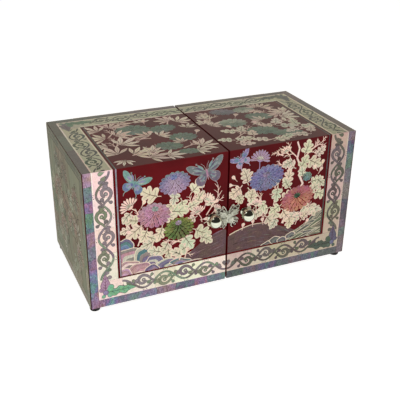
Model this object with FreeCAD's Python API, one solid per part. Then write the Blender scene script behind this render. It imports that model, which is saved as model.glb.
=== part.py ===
"""Double lacquer box: one carcass, two L-shaped covers hinged at the back, trays above and drawers below.

Millimetres, +Z up. X runs along the long side and -Y is the front. The row's origin is on the floor,
under the middle of the whole outline, knobs and hinges included.
"""

import FreeCAD, Part
import math
import os

from FreeCAD import Vector

# The box without its feet
box_width = 300.0
box_depth = 150.0
box_height = 150.0
board = 9.0
edge_bevel = 0.6

# Gaps that let the covers swing
cover_gap = 2.0
mitre_setback = 0.6
cover_clearance = 0.6

# Feet
foot_height = 5.0
foot_radius = 5.5
foot_taper = 0.8
foot_lip = 1.6
foot_side_inset = 1.0
foot_end_inset = 3.0
foot_recess_radius = 3.0
foot_recess_depth = 2.6
foot_screw_radius = 1.2
foot_screw_head_radius = 2.6
foot_screw_length = 11.0

# Inside of the carcass
partition_thickness = 8.0
lower_drawer_bay = 42.0
upper_drawer_bay = 38.0
shelf_thickness = 4.0
tray_floor_thickness = 5.0
cover_headroom = 7.4
tray_rail_thickness = 6.0
tray_rail_setback = 1.0
tray_rail_bevel = 1.6
lining_thickness = 2.0
lining_drop = 0.6
tray_divider_thickness = 2.5
tray_divider_drop = 9.0
ring_roll_count = 6
ring_roll_pitch = 10.2
ring_roll_width = 9.0
ring_roll_height = 12.0
ring_roll_bevel = 2.4
bumper_radius = 3.0
bumper_thickness = 0.5
bumper_inset = 28.0

# Drawers
drawer_side_clearance = 0.5
drawer_top_clearance = 0.6
drawer_front_setback = 9.9
drawer_front_thickness = 7.0
drawer_side_thickness = 5.0
drawer_bottom_thickness = 3.0
drawer_side_drop = 4.0
drawer_back_clearance = 3.0
drawer_knob_radius = 3.8
drawer_knob_stand = 5.4
drawer_knob_neck_radius = 1.7
drawer_knob_base_radius = 3.2
drawer_knob_base_thickness = 0.8
drawer_knob_stud_radius = 1.5

# Mirrors under the top plates
mirror_margin_side = 10.0
mirror_margin_end = 20.0
mirror_frame_width = 7.0
mirror_frame_thickness = 5.0
mirror_frame_slope = 2.0
mirror_frame_bevel = 1.2
mirror_thickness = 3.0
mirror_recess = 1.2
mirror_rebate = 3.5

# Hinges on the back edge
hinge_length = 26.0
hinge_end_distance = 22.0
hinge_stand = 2.6
barrel_radius = 2.2
pin_radius = 1.0
pin_clearance = 0.04
knuckle_gap = 0.3
leaf_thickness = 1.0
leaf_clearance = 0.4
leaf_root = 0.8
leaf_edge_margin = 0.6
body_leaf_drop = 20.0
cover_opening_angle = 112.0
stop_play_angle = 0.5
stop_angle = -45.0
stop_root_radius = 1.6
stop_reach = 5.0
stop_thickness = 1.4
stop_bar_clearance = 0.8
hinge_screw_radius = 0.9
hinge_screw_head_radius = 1.6
hinge_screw_length = 7.0
hinge_screw_spread = 14.0

# Ball knobs of the covers
knob_spacing = 37.0
knob_height = 79.5
knob_radius = 7.0
knob_stand = 10.0
knob_neck_radius = 2.4
knob_base_radius = 4.4
knob_base_thickness = 1.0
knob_screw_radius = 1.5
knob_screw_head_radius = 2.9
knob_screw_grip = 5.0

# Butterfly fitting, one wing on each cover, around its own centre
butterfly_height = 74.0
butterfly_slit = 0.6
wing_plate = 1.1
wing_crown = 1.2
wing_crown_share = 0.62
hind_wing_set_down = 0.5
body_radius = 2.1
body_bottom = -10.5
body_top = 6.4
head_radius = 1.8
antenna_radius = 0.5
antenna_curl_radius = 10.0
antenna_ring_count = 6
antenna_ring_turn = 14
antenna_flat_count = 6
antenna_stand = 1.5
wing_stud_radius = 0.8
wing_stud_length = 5.0
wing_stud_x = 6.6
fore_stud_z = 5.6
hind_stud_z = -4.0

# Flats round the turned pieces, and how near two points or planes are one
foot_flat_count = 20
knob_flat_count = 24
drawer_knob_flat_count = 16
screw_flat_count = 12
stud_flat_count = 8
same_place = 1e-6
same_plane = 1e-3

# Worked out from the above
half_width = box_width / 2
front_y = -box_depth / 2
back_y = box_depth / 2
box_bottom = foot_height
box_top = foot_height + box_height
inner_x = half_width - board
inner_front_y = front_y + board
inner_back_y = back_y - board
inner_top = box_top - board
carcass_front_y = inner_front_y + cover_clearance
carcass_top = inner_top - cover_clearance
partition_x = partition_thickness / 2
half_middle_x = (partition_x + inner_x) / 2
cover_edge_x = cover_gap / 2
cover_bottom = box_bottom + cover_clearance
floor_z = box_bottom + board
lower_bay_top = floor_z + lower_drawer_bay
upper_bay_bottom = lower_bay_top + shelf_thickness
upper_bay_top = upper_bay_bottom + upper_drawer_bay
tray_z = upper_bay_top + tray_floor_thickness
rail_top = carcass_top - cover_headroom
rail_front_y = carcass_front_y + tray_rail_setback
well_front_y = rail_front_y + tray_rail_thickness
lining_floor_z = tray_z + lining_thickness
lining_front_y = well_front_y + lining_thickness
lining_back_y = inner_back_y - lining_thickness
lining_x0 = partition_x + lining_thickness
lining_x1 = inner_x - lining_thickness
ring_roll_back_y = lining_front_y + ring_roll_count * ring_roll_pitch
drawer_x0 = partition_x + drawer_side_clearance
drawer_x1 = inner_x - drawer_side_clearance
drawer_front_y = carcass_front_y + drawer_front_setback
drawer_box_y = drawer_front_y + drawer_front_thickness
hinge_y = back_y + hinge_stand
hinge_z = inner_top
leaf_face_y = back_y + leaf_thickness
leaf_start = barrel_radius + leaf_clearance
knuckle_length = (hinge_length - 2 * knuckle_gap) / 3
stop_reach_y = hinge_stand + stop_reach * math.cos(math.radians(stop_angle))
front_reach = knob_stand + knob_radius
row_shift_y = (front_reach - stop_reach_y) / 2

ORIGIN = Vector(0, 0, 0)
X_AXIS = Vector(1, 0, 0)
Y_AXIS = Vector(0, 1, 0)
Z_AXIS = Vector(0, 0, 1)


def near(a, b):
    return abs(a - b) < same_plane


def block(x0, x1, y0, y1, z0, z1):
    """A board between two corners."""
    return Part.makeBox(x1 - x0, y1 - y0, z1 - z0, Vector(x0, y0, z0))


def rod(radius, length, start, direction):
    return Part.makeCylinder(radius, length, start, direction)


def face_through(points):
    """A flat face through the points, leaving out repeated ones."""
    distinct = [p for i, p in enumerate(points) if (p - points[i - 1]).Length > same_place]
    return Part.Face(Part.makePolygon(distinct + [distinct[0]])) if len(distinct) > 2 else None


def ring_solid(rings):
    """A solid of flats through rings with as many points each; a ring may shrink to one point."""
    faces = [face_through(rings[0]), face_through(rings[-1])]
    for ring, following in zip(rings, rings[1:]):
        for i in range(len(ring)):
            faces.append(face_through([ring[i - 1], ring[i], following[i], following[i - 1]]))
    shell = Part.makeShell([face for face in faces if face])
    shell.sewShape()
    solid = Part.makeSolid(shell)
    return solid if solid.Volume > 0 else solid.reversed()


def bevelled(shape, size, wanted):
    """Bevels the edges for which wanted(edge's middle, edge's direction) is true."""
    chosen = []
    for edge in shape.Edges:
        first = edge.valueAt(edge.FirstParameter)
        last = edge.valueAt(edge.LastParameter)
        run = last - first
        if run.Length > 4 * size and wanted((first + last) * 0.5, run.normalize()):
            chosen.append(edge)
    return shape.makeChamfer(size, chosen)


def turned(profile, flats, place, axis):
    """A turned piece with this many flats, from (radius, height) pairs along axis from place."""
    side = X_AXIS if abs(axis.x) < 0.5 else Y_AXIS
    other = axis.cross(side)
    rings = []
    for radius, height in profile:
        centre = place + axis * height
        turns = [2 * math.pi * (i + 0.5) / flats for i in range(flats)]
        rings.append([centre + side * (radius * math.cos(t)) + other * (radius * math.sin(t)) for t in turns])
    return ring_solid(rings)


def screw(mouth, direction, shank, head, length):
    """A countersunk screw, its head flush at mouth and its shank along direction."""
    depth = head - shank
    return turned([(head, 0), (shank, depth), (shank, length)], screw_flat_count, mouth, direction)


def ball_knob_profile(ball, stand, neck, base, base_thickness, bands):
    """A flange, a neck that narrows and a ball, as (radius, height) pairs."""
    join = math.asin(neck / ball)
    waist = (base_thickness + stand - ball * math.cos(join)) / 2
    profile = [(base, 0), (base, base_thickness), (neck * 0.85, waist)]
    for i in range(bands + 1):
        angle = join + (math.pi - join) * i / bands
        profile.append((ball * math.sin(angle), stand - ball * math.cos(angle)))
    profile[-1] = (0, stand + ball)
    return profile


def on_side(shape, sign):
    """Right-hand pieces are drawn, and left-hand ones are their mirror images."""
    return shape if sign > 0 else shape.mirror(ORIGIN, X_AXIS)


# Carcass
def foot_places():
    x = half_width - foot_side_inset - foot_radius
    y = box_depth / 2 - foot_end_inset - foot_radius
    return [(sx * x, sy * y) for sx in (-1, 1) for sy in (-1, 1)]


def side_panel():
    """The right side, its top and front edges mitred towards the cover."""
    rings = []
    for x, inset in ((half_width, 0.0), (inner_x, board)):
        top = box_top - mitre_setback - inset
        front = front_y + mitre_setback + inset
        corners = ((front, box_bottom), (back_y, box_bottom), (back_y, top), (front, top))
        rings.append([Vector(x, y, z) for y, z in corners])
    panel = ring_solid(rings)

    def worn(middle, run):
        low = near(middle.z, box_bottom) and abs(run.y) > 0.9
        rear = near(middle.y, back_y) and abs(run.z) > 0.9
        return near(middle.x, half_width) and (low or rear)

    return bevelled(panel, edge_bevel, worn)


def bottom_board():
    return block(-inner_x, inner_x, carcass_front_y, back_y, box_bottom, floor_z)


def back_panel():
    return block(-inner_x, inner_x, inner_back_y, back_y, floor_z, carcass_top)


def centre_partition():
    return block(-partition_x, partition_x, carcass_front_y, inner_back_y, floor_z, carcass_top)


def shelf(bottom, thickness):
    """A shelf of the right half, its front edge bevelled."""
    board_shape = block(
        partition_x, inner_x, carcass_front_y, inner_back_y, bottom, bottom + thickness
    )
    return bevelled(
        board_shape, edge_bevel, lambda middle, run: near(middle.y, carcass_front_y) and abs(run.x) > 0.9
    )


def tray_rail():
    rail = block(partition_x, inner_x, rail_front_y, well_front_y, tray_z, rail_top)
    return bevelled(
        rail, tray_rail_bevel, lambda middle, run: near(middle.z, rail_top) and abs(run.x) > 0.9
    )


def tray_lining():
    """An open velvet tub that fills the well to just under the rail's top."""
    tub = block(partition_x, inner_x, well_front_y, inner_back_y, tray_z, rail_top - lining_drop)
    hollow = block(lining_x0, lining_x1, lining_front_y, lining_back_y, lining_floor_z, rail_top)
    return tub.cut(hollow)


def ring_roll(index):
    """One bar with a narrowed top; a ring is held between two of them."""
    y0 = lining_front_y + index * ring_roll_pitch + (ring_roll_pitch - ring_roll_width) / 2
    y1 = y0 + ring_roll_width
    z0 = lining_floor_z
    z1 = z0 + ring_roll_height
    bar = block(-lining_x1, -lining_x0, y0, y1, z0, z1)
    return bevelled(bar, ring_roll_bevel, lambda middle, run: near(middle.z, z1) and abs(run.x) > 0.9)


def tray_dividers():
    """On the left a bar behind the ring rolls, on the right one from front to back."""
    z1 = rail_top - tray_divider_drop
    y1 = ring_roll_back_y + tray_divider_thickness
    half = tray_divider_thickness / 2
    left = block(-lining_x1, -lining_x0, ring_roll_back_y, y1, lining_floor_z, z1)
    right = block(
        half_middle_x - half, half_middle_x + half, lining_front_y, lining_back_y, lining_floor_z, z1
    )
    return [left, right]


def foot_screw(x, y):
    mouth = Vector(x, y, foot_recess_depth)
    return screw(mouth, Z_AXIS, foot_screw_radius, foot_screw_head_radius, foot_screw_length)


def foot(x, y):
    """A black disc that narrows to the floor, sunk for its screw."""
    profile = [(foot_radius - foot_taper, 0), (foot_radius, foot_lip), (foot_radius, foot_height)]
    disc = turned(profile, foot_flat_count, Vector(x, y, 0), Z_AXIS)
    sunk = [(foot_recess_radius, 0), (foot_recess_radius, foot_recess_depth)]
    recess = turned(sunk, screw_flat_count, Vector(x, y, 0), Z_AXIS)
    return disc.cut(recess).cut(foot_screw(x, y))


def cover_bumpers():
    """Felt dots on the bottom board's front edge, where the closed covers rest."""
    z = box_bottom + board / 2
    places = [partition_x + bumper_inset, inner_x - bumper_inset]
    places += [-x for x in places]
    dot = [(bumper_radius, 0), (bumper_radius, bumper_thickness)]
    return [turned(dot, screw_flat_count, Vector(x, carcass_front_y, z), -Y_AXIS) for x in places]


# Hinges
def hinge_places():
    """The middles of the four hinges along X."""
    inner = cover_edge_x + hinge_end_distance + hinge_length / 2
    outer = inner_x - hinge_end_distance - hinge_length / 2
    return [-outer, -inner, inner, outer]


def hinge_name(x):
    side = "left" if x < 0 else "right"
    place = "outer" if abs(x) > half_middle_x else "inner"
    return f"{side}_{place}"


def knuckle_spans(x):
    """The X spans of a hinge's three knuckles; the middle one is the cover's."""
    starts = [x - hinge_length / 2 + i * (knuckle_length + knuckle_gap) for i in range(3)]
    return [(start, start + knuckle_length) for start in starts]


def barrel(span):
    return rod(barrel_radius, span[1] - span[0], Vector(span[0], hinge_y, hinge_z), X_AXIS)


def pin_bore(x):
    start = Vector(x - hinge_length, hinge_y, hinge_z)
    return rod(pin_radius + pin_clearance, 2 * hinge_length, start, X_AXIS)


def stop_block(span, angle, inner_radius, side):
    """A bar along the barrel, one face in the plane through the pin at angle, on that face's side."""
    bar = Part.makeBox(
        span[1] - span[0],
        stop_reach - inner_radius,
        stop_thickness,
        Vector(span[0], inner_radius, min(0.0, side * stop_thickness)),
    )
    bar.rotate(ORIGIN, X_AXIS, angle)
    bar.translate(Vector(0, hinge_y, hinge_z))
    return bar


def leaf_screws(x, z):
    half = hinge_screw_spread / 2
    return [
        screw(
            Vector(x + dx, leaf_face_y, z),
            -Y_AXIS,
            hinge_screw_radius,
            hinge_screw_head_radius,
            hinge_screw_length,
        )
        for dx in (-half, half)
    ]


def body_leaf_screws(x):
    return leaf_screws(x, hinge_z - (leaf_start + body_leaf_drop) / 2)


def cover_leaf_screws(x):
    return leaf_screws(x, (hinge_z + leaf_start + box_top - leaf_edge_margin) / 2)


def hinge_body_leaf(x):
    """A leaf on the back panel with two knuckles and the bar that stops the cover."""
    first, middle, last = knuckle_spans(x)
    whole = (first[0], last[1])
    low = hinge_z - leaf_start
    leaf = block(*whole, back_y, leaf_face_y, hinge_z - body_leaf_drop, low)
    for span in (first, last):
        leaf = leaf.fuse(block(*span, back_y, leaf_face_y, low, hinge_z - leaf_root))
        leaf = leaf.fuse(barrel(span))
        leaf = leaf.fuse(stop_block(span, stop_angle, stop_root_radius, -1))
    leaf = leaf.fuse(stop_block(whole, stop_angle, barrel_radius + stop_bar_clearance, -1))
    leaf = leaf.cut(pin_bore(x))
    for fastener in body_leaf_screws(x):
        leaf = leaf.cut(fastener)
    return leaf.removeSplitter()


def hinge_cover_leaf(x):
    """A leaf on the cover's back edge with the middle knuckle and the heel that meets the bar."""
    first, middle, last = knuckle_spans(x)
    high = hinge_z + leaf_start
    leaf = block(first[0], last[1], back_y, leaf_face_y, high, box_top - leaf_edge_margin)
    leaf = leaf.fuse(block(*middle, back_y, leaf_face_y, hinge_z + leaf_root, high))
    leaf = leaf.fuse(barrel(middle))
    heel_angle = stop_angle + cover_opening_angle + stop_play_angle
    leaf = leaf.fuse(stop_block(middle, heel_angle, stop_root_radius, 1))
    leaf = leaf.cut(pin_bore(x))
    for fastener in cover_leaf_screws(x):
        leaf = leaf.cut(fastener)
    return leaf.removeSplitter()


def hinge_pin(x):
    return rod(pin_radius, hinge_length, Vector(x - hinge_length / 2, hinge_y, hinge_z), X_AXIS)


# Covers
def cover_top():
    """The right half of the top, mitred to its side panel and to its own front plate."""
    rings = []
    for z, inset in ((box_top, 0.0), (inner_top, board)):
        side = half_width - mitre_setback - inset
        front = front_y + inset
        corners = ((cover_edge_x, front), (side, front), (side, back_y), (cover_edge_x, back_y))
        rings.append([Vector(x, y, z) for x, y in corners])
    plate = ring_solid(rings)
    for x in hinge_places():
        if x > 0:
            for fastener in cover_leaf_screws(x):
                plate = plate.cut(fastener)
    return plate


def cover_front():
    """The right half of the front, mitred to its side panel and to its own top plate."""
    rings = []
    for y, inset in ((front_y, 0.0), (inner_front_y, board)):
        side = half_width - mitre_setback - inset
        top = box_top - inset
        corners = (
            (cover_edge_x, cover_bottom),
            (side, cover_bottom),
            (side, top),
            (cover_edge_x, top),
        )
        rings.append([Vector(x, y, z) for x, z in corners])
    plate = ring_solid(rings).cut(knob_screw())
    for stud in wing_studs():
        plate = plate.cut(stud)
    return plate


def mirror_ring(inset, z):
    """The corners of the mirror frame's outline, brought in by inset."""
    x0 = partition_x + mirror_margin_side + inset
    x1 = inner_x - mirror_margin_side - inset
    y0 = inner_front_y + mirror_margin_end + inset
    y1 = inner_back_y - mirror_margin_end - inset
    return [Vector(x, y, z) for x, y in ((x0, y0), (x1, y0), (x1, y1), (x0, y1))]


def mirror_frame():
    """A frame with a bevelled outside, a sloped inside and a rebate for the glass."""
    low = inner_top - mirror_frame_thickness
    glass_low = low + mirror_recess
    frame = ring_solid(
        [
            mirror_ring(mirror_frame_bevel, low),
            mirror_ring(0, low + mirror_frame_bevel),
            mirror_ring(0, inner_top),
        ]
    )
    opening = ring_solid(
        [
            mirror_ring(mirror_frame_width - mirror_frame_slope, low),
            mirror_ring(mirror_frame_width, glass_low),
            mirror_ring(mirror_frame_width, inner_top),
        ]
    )
    rebate = ring_solid([mirror_ring(mirror_rebate, glass_low), mirror_ring(mirror_rebate, inner_top)])
    return frame.cut(opening).cut(rebate)


def mirror_glass():
    low = inner_top - mirror_frame_thickness + mirror_recess
    high = low + mirror_thickness
    return ring_solid([mirror_ring(mirror_rebate, low), mirror_ring(mirror_rebate, high)])


def knob_place():
    return Vector(knob_spacing / 2, front_y, box_bottom + knob_height)


def knob_screw():
    """From inside, through the front plate, into the knob."""
    mouth = knob_place() + Y_AXIS * board
    length = board + knob_screw_grip
    return screw(mouth, -Y_AXIS, knob_screw_radius, knob_screw_head_radius, length)


def cover_knob():
    profile = ball_knob_profile(
        knob_radius, knob_stand, knob_neck_radius, knob_base_radius, knob_base_thickness, 10
    )
    return turned(profile, knob_flat_count, knob_place(), -Y_AXIS).cut(knob_screw())


def butterfly_point(x, z, stand=0.0):
    """A point of the butterfly, from its centre, this far proud of the cover."""
    return Vector(x, front_y - stand, box_bottom + butterfly_height + z)


def wing_ring(outline, stand, share=1.0):
    mid_x = sum(x for x, z in outline) / len(outline)
    mid_z = sum(z for x, z in outline) / len(outline)
    return [
        butterfly_point(mid_x + (x - mid_x) * share, mid_z + (z - mid_z) * share, stand)
        for x, z in outline
    ]


def wing_lobe(outline, plate):
    """A cast wing: an upright edge, then a crown that slopes in from it."""
    crown = plate + wing_crown
    return ring_solid(
        [
            wing_ring(outline, 0.0),
            wing_ring(outline, plate),
            wing_ring(outline, (plate + crown) / 2 + wing_crown / 4, (1 + wing_crown_share) / 2),
            wing_ring(outline, crown, wing_crown_share / 2),
        ]
    )


def wing_studs():
    """Two studs that hold the wing in the front plate."""
    stud = [(wing_stud_radius, 0), (wing_stud_radius, wing_stud_length)]
    return [
        turned(stud, stud_flat_count, butterfly_point(wing_stud_x, z), Y_AXIS)
        for z in (fore_stud_z, hind_stud_z)
    ]


def spindle_profile(radius, length, bands):
    """A body that is full in the middle and pointed at both ends."""
    profile = [(0, 0)]
    for i in range(1, bands):
        profile.append((radius * math.sin(math.pi * i / bands) ** 0.7, length * i / bands))
    return profile + [(0, length)]


def antenna(start):
    """A thin rod that rises from the head and curls outwards."""
    centre = start + X_AXIS * antenna_curl_radius
    rings = []
    for i in range(antenna_ring_count):
        turn = math.radians(180 - antenna_ring_turn * i)
        outwards = X_AXIS * math.cos(turn) + Z_AXIS * math.sin(turn)
        middle = centre + outwards * antenna_curl_radius
        rings.append(
            [
                middle
                + outwards * (antenna_radius * math.cos(math.tau * j / antenna_flat_count))
                + Y_AXIS * (antenna_radius * math.sin(math.tau * j / antenna_flat_count))
                for j in range(antenna_flat_count)
            ]
        )
    return ring_solid(rings)


def butterfly_wing():
    """Half a butterfly: fore wing, hind wing, half of the body and head, and one antenna."""
    root = butterfly_slit / 2
    fore = [
        (root, 0.4),
        (8.6, 1.0),
        (11.8, 2.4),
        (12.0, 4.8),
        (13.4, 6.8),
        (12.8, 9.4),
        (10.2, 11.2),
        (6.6, 10.8),
        (3.0, 8.6),
        (root, 5.2),
    ]
    hind = [
        (root, -5.6),
        (2.6, -6.6),
        (3.8, -9.4),
        (6.2, -10.4),
        (7.4, -8.8),
        (9.4, -8.2),
        (10.0, -5.8),
        (11.8, -4.2),
        (11.4, -1.2),
        (8.2, 1.6),
        (root, 1.8),
    ]
    wing = wing_lobe(fore, wing_plate + hind_wing_set_down).fuse(wing_lobe(hind, wing_plate))
    tail = butterfly_point(0, body_bottom, wing_plate)
    body = turned(spindle_profile(body_radius, body_top - body_bottom, 8), screw_flat_count, tail, Z_AXIS)
    head_base = butterfly_point(0, body_top - head_radius * 0.6, wing_plate)
    head = turned(spindle_profile(head_radius, 2 * head_radius, 6), screw_flat_count, head_base, Z_AXIS)
    brow = Vector(head_radius / 2, wing_plate - antenna_stand, head_radius)
    feeler = antenna(head_base + brow)
    outside = block(root, box_width, front_y - box_width, front_y, box_bottom, box_top)
    wing = wing.fuse(body.fuse(head).fuse(feeler).common(outside))
    for stud in wing_studs():
        wing = wing.fuse(stud)
    return wing.removeSplitter()


# Drawers
def drawer_span(bay_bottom, bay_height):
    """The bottom and top of a drawer that stands on its bay's floor."""
    return bay_bottom, bay_bottom + bay_height - drawer_top_clearance


def drawer_knob_place(span):
    return Vector(half_middle_x, drawer_front_y, (span[0] + span[1]) / 2)


def drawer_stud(span):
    stud = [(drawer_knob_stud_radius, 0), (drawer_knob_stud_radius, drawer_front_thickness)]
    return turned(stud, stud_flat_count, drawer_knob_place(span), Y_AXIS)


def drawer_front(span):
    """The front board, bevelled round its face and bored for its knob."""
    face = block(drawer_x0, drawer_x1, drawer_front_y, drawer_box_y, span[0], span[1])
    face = bevelled(face, edge_bevel, lambda middle, run: near(middle.y, drawer_front_y))
    return face.cut(drawer_stud(span))


def drawer_box(span):
    """Two sides, a back and a bottom, glued up as one tray behind the front."""
    back = inner_back_y - drawer_back_clearance
    tray = block(drawer_x0, drawer_x1, drawer_box_y, back, span[0], span[1] - drawer_side_drop)
    hollow = block(
        drawer_x0 + drawer_side_thickness,
        drawer_x1 - drawer_side_thickness,
        drawer_box_y,
        back - drawer_side_thickness,
        span[0] + drawer_bottom_thickness,
        span[1],
    )
    return tray.cut(hollow)


def drawer_knob(span):
    profile = ball_knob_profile(
        drawer_knob_radius,
        drawer_knob_stand,
        drawer_knob_neck_radius,
        drawer_knob_base_radius,
        drawer_knob_base_thickness,
        6,
    )
    knob = turned(profile, drawer_knob_flat_count, drawer_knob_place(span), -Y_AXIS)
    return knob.fuse(drawer_stud(span)).removeSplitter()


def whole_box_nodes():
    """The nodes that are made once, each a list of solids."""
    nodes = {
        "bottom_board": [bottom_board()],
        "back_panel": [back_panel()],
        "centre_partition": [centre_partition()],
        "ring_rolls": [ring_roll(i) for i in range(ring_roll_count)],
        "tray_dividers": tray_dividers(),
        "cover_bumpers": cover_bumpers(),
        "foot_screws": [foot_screw(x, y) for x, y in foot_places()],
        "hinge_pins": [hinge_pin(x) for x in hinge_places()],
    }
    for x, y in foot_places():
        end = "front" if y < 0 else "back"
        side = "left" if x < 0 else "right"
        nodes[f"foot_{end}_{side}"] = [foot(x, y)]
    for x in hinge_places():
        nodes[f"hinge_body_leaf_{hinge_name(x)}"] = [hinge_body_leaf(x)]
        nodes[f"hinge_cover_leaf_{hinge_name(x)}"] = [hinge_cover_leaf(x)]
    fasteners = [fastener for x in hinge_places() for fastener in body_leaf_screws(x)]
    nodes["hinge_screws_body"] = fasteners
    nodes["back_panel"] = [nodes["back_panel"][0].cut(fasteners)]
    return nodes


def half_box_nodes():
    """The nodes that each half has, drawn for the right half."""
    nodes = {
        "side_panel": [side_panel().cut([foot_screw(x, y) for x, y in foot_places() if x > 0])],
        "drawer_shelf": [shelf(lower_bay_top, shelf_thickness)],
        "tray_floor": [shelf(upper_bay_top, tray_floor_thickness)],
        "tray_rail": [tray_rail()],
        "tray_lining": [tray_lining()],
        "cover_top": [cover_top()],
        "cover_front": [cover_front()],
        "mirror_frame": [mirror_frame()],
        "mirror_glass": [mirror_glass()],
        "cover_knob": [cover_knob()],
        "cover_knob_screw": [knob_screw()],
        "butterfly_wing": [butterfly_wing()],
    }
    nodes["hinge_screws_cover"] = [
        fastener for x in hinge_places() if x > 0 for fastener in cover_leaf_screws(x)
    ]
    bays = {
        "lower": drawer_span(floor_z, lower_drawer_bay),
        "upper": drawer_span(upper_bay_bottom, upper_drawer_bay),
    }
    for level, span in bays.items():
        nodes[f"drawer_front_{level}"] = [drawer_front(span)]
        nodes[f"drawer_box_{level}"] = [drawer_box(span)]
        nodes[f"drawer_knob_{level}"] = [drawer_knob(span)]
    return nodes


def save(name, solids):
    """Writes one node's STEP file, moved to the row's origin."""
    shape = solids[0] if len(solids) == 1 else Part.makeCompound(solids)
    shape = shape.copy()
    shape.translate(Vector(0, row_shift_y, 0))
    shape.exportStep(os.path.join("parts", name + ".step"))


def main():
    os.makedirs("parts", exist_ok=True)
    nodes = whole_box_nodes()
    for name, solids in half_box_nodes().items():
        for side, sign in (("left", -1), ("right", 1)):
            nodes[f"{name}_{side}"] = [on_side(solid, sign) for solid in solids]
    for name, solids in nodes.items():
        save(name, solids)
    print(len(nodes), "nodes; the box's middle plane is at y =", round(row_shift_y, 3))


main()
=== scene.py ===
"""Looks of the double lacquer box: red lacquer, mother-of-pearl inlay, silver fittings and velvet."""

import math
import random
from collections import namedtuple

import bpy
import numpy as np
from mathutils import Matrix, Vector


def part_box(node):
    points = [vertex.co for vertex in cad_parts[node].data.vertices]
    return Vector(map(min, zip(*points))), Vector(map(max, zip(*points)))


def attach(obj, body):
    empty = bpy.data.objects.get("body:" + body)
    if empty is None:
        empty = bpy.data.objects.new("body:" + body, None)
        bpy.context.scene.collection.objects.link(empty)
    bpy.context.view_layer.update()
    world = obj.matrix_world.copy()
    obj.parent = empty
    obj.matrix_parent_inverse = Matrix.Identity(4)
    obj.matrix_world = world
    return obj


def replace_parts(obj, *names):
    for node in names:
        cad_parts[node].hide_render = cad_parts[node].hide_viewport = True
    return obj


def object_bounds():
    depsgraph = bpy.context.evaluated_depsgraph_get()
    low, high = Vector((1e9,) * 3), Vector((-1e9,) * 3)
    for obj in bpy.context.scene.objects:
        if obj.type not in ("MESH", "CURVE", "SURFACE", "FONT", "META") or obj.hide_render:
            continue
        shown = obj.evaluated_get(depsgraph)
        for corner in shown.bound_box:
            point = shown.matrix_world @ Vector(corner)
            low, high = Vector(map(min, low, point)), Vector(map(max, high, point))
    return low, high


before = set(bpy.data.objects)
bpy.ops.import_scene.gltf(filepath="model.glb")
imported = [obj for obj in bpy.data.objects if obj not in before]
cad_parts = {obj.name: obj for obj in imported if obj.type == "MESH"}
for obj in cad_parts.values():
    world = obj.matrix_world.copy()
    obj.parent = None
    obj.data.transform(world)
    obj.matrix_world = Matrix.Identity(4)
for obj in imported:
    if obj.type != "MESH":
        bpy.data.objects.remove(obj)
cad_low, cad_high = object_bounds()

MM = 0.001
SIDES = {"left": -1, "right": 1}

# Places of the faces, in millimetres in the row frame
front_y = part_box("cover_front_right")[0].y / MM
top_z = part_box("cover_top_right")[1].z / MM
back_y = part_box("cover_top_right")[1].y / MM
foot_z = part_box("cover_front_right")[0].z / MM
side_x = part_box("side_panel_right")[1].x / MM
gap_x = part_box("cover_front_right")[0].x / MM
end_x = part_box("cover_front_right")[1].x / MM

# Sizes of the decoration, in millimetres
inlay_depth = 0.35
lowest_inlay = 0.06
layer_step = 0.004
strip_width = 8.6
border_width = 21.0
red_line = 1.7
pearl_line = 2.4
joint_width = 0.15
seam_width = 0.8
edge_margin = 0.2
lining_thickness = 2.0

# The map on which a sheet keeps how high its pieces reach, in millimetres across and up
map_corner = -156.0 - 82.0j
map_size = 312.0 + 244.0j
map_cell = 0.25

# Colours of shell, lacquer and velvet, as 8-bit display values
CREAM = (220, 208, 186)
TOP_CREAM = (244, 234, 212)
BLUSH = (234, 206, 192)
PALE_PINK = (226, 204, 202)
PALE_GREEN = (200, 214, 186)
MIST = (186, 190, 170)
VIOLET = (122, 110, 166)
LILAC = (160, 138, 172)
BLUE = (84, 106, 168)
TEAL = (78, 136, 142)
SEA_GREEN = (92, 150, 126)
ROSE = (184, 104, 134)
PLUM = (98, 70, 72)
SLATE = (108, 112, 116)
MAUVE_GREY = (120, 106, 110)
GREEN_GREY = (116, 124, 104)
VINE_EDGE = (74, 68, 70)
RIB = (120, 104, 88)
INK = (44, 12, 16)
LEAF_RIM = (240, 214, 200)
SPRAY_RIM = (250, 226, 212)
PETAL_RIM = (255, 240, 230)
BLOOM_RIM = (224, 214, 222)
BUD_RIM = (250, 232, 222)
ROCK_RIM = (232, 218, 198)
PALE_VINE_EDGE = (236, 232, 206)
BRANCH = (236, 214, 204)
FOAM = (206, 200, 176)
END_LINE = (84, 80, 62)
END_RIM = (70, 62, 48)
VELVET_SHEEN = (190, 60, 80)

PALE_SHELL, ABALONE, LACQUER_LINE, MOTTLED = 0, 1, 2, 3
Piece = namedtuple("Piece", "outline tint lift stuff", defaults=(PALE_SHELL,))


def linear(colour):
    """A display colour as linear light."""
    share = np.asarray(colour, float) / 255
    return np.where(share <= 0.04045, share / 12.92, ((share + 0.055) / 1.055) ** 2.4)


def blend_of(first, second, share):
    """A colour between two."""
    return tuple(np.asarray(first) * (1 - share) + np.asarray(second) * share)


def around(dice, colour, spread=10):
    """A colour a little off the given one, lighter or darker and warmer or cooler."""
    light = dice.uniform(-spread, spread)
    return tuple(min(250, max(8, c + light + dice.uniform(-spread, spread) / 2)) for c in colour)


# Nodes of a material
def new_material(name):
    """A material, its node tree and its shader."""
    material = bpy.data.materials.new(name)
    material.use_nodes = True
    tree = material.node_tree
    return material, tree, tree.nodes["Principled BSDF"]


def add(tree, kind, inputs=(), **settings):
    """A node with its settings and its inputs, which are values or other nodes' sockets."""
    made = tree.nodes.new(kind)
    for name, value in settings.items():
        setattr(made, name, value)
    for name, value in dict(inputs).items():
        if isinstance(value, bpy.types.NodeSocket):
            tree.links.new(value, made.inputs[name])
        else:
            made.inputs[name].default_value = value
    return made


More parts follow.
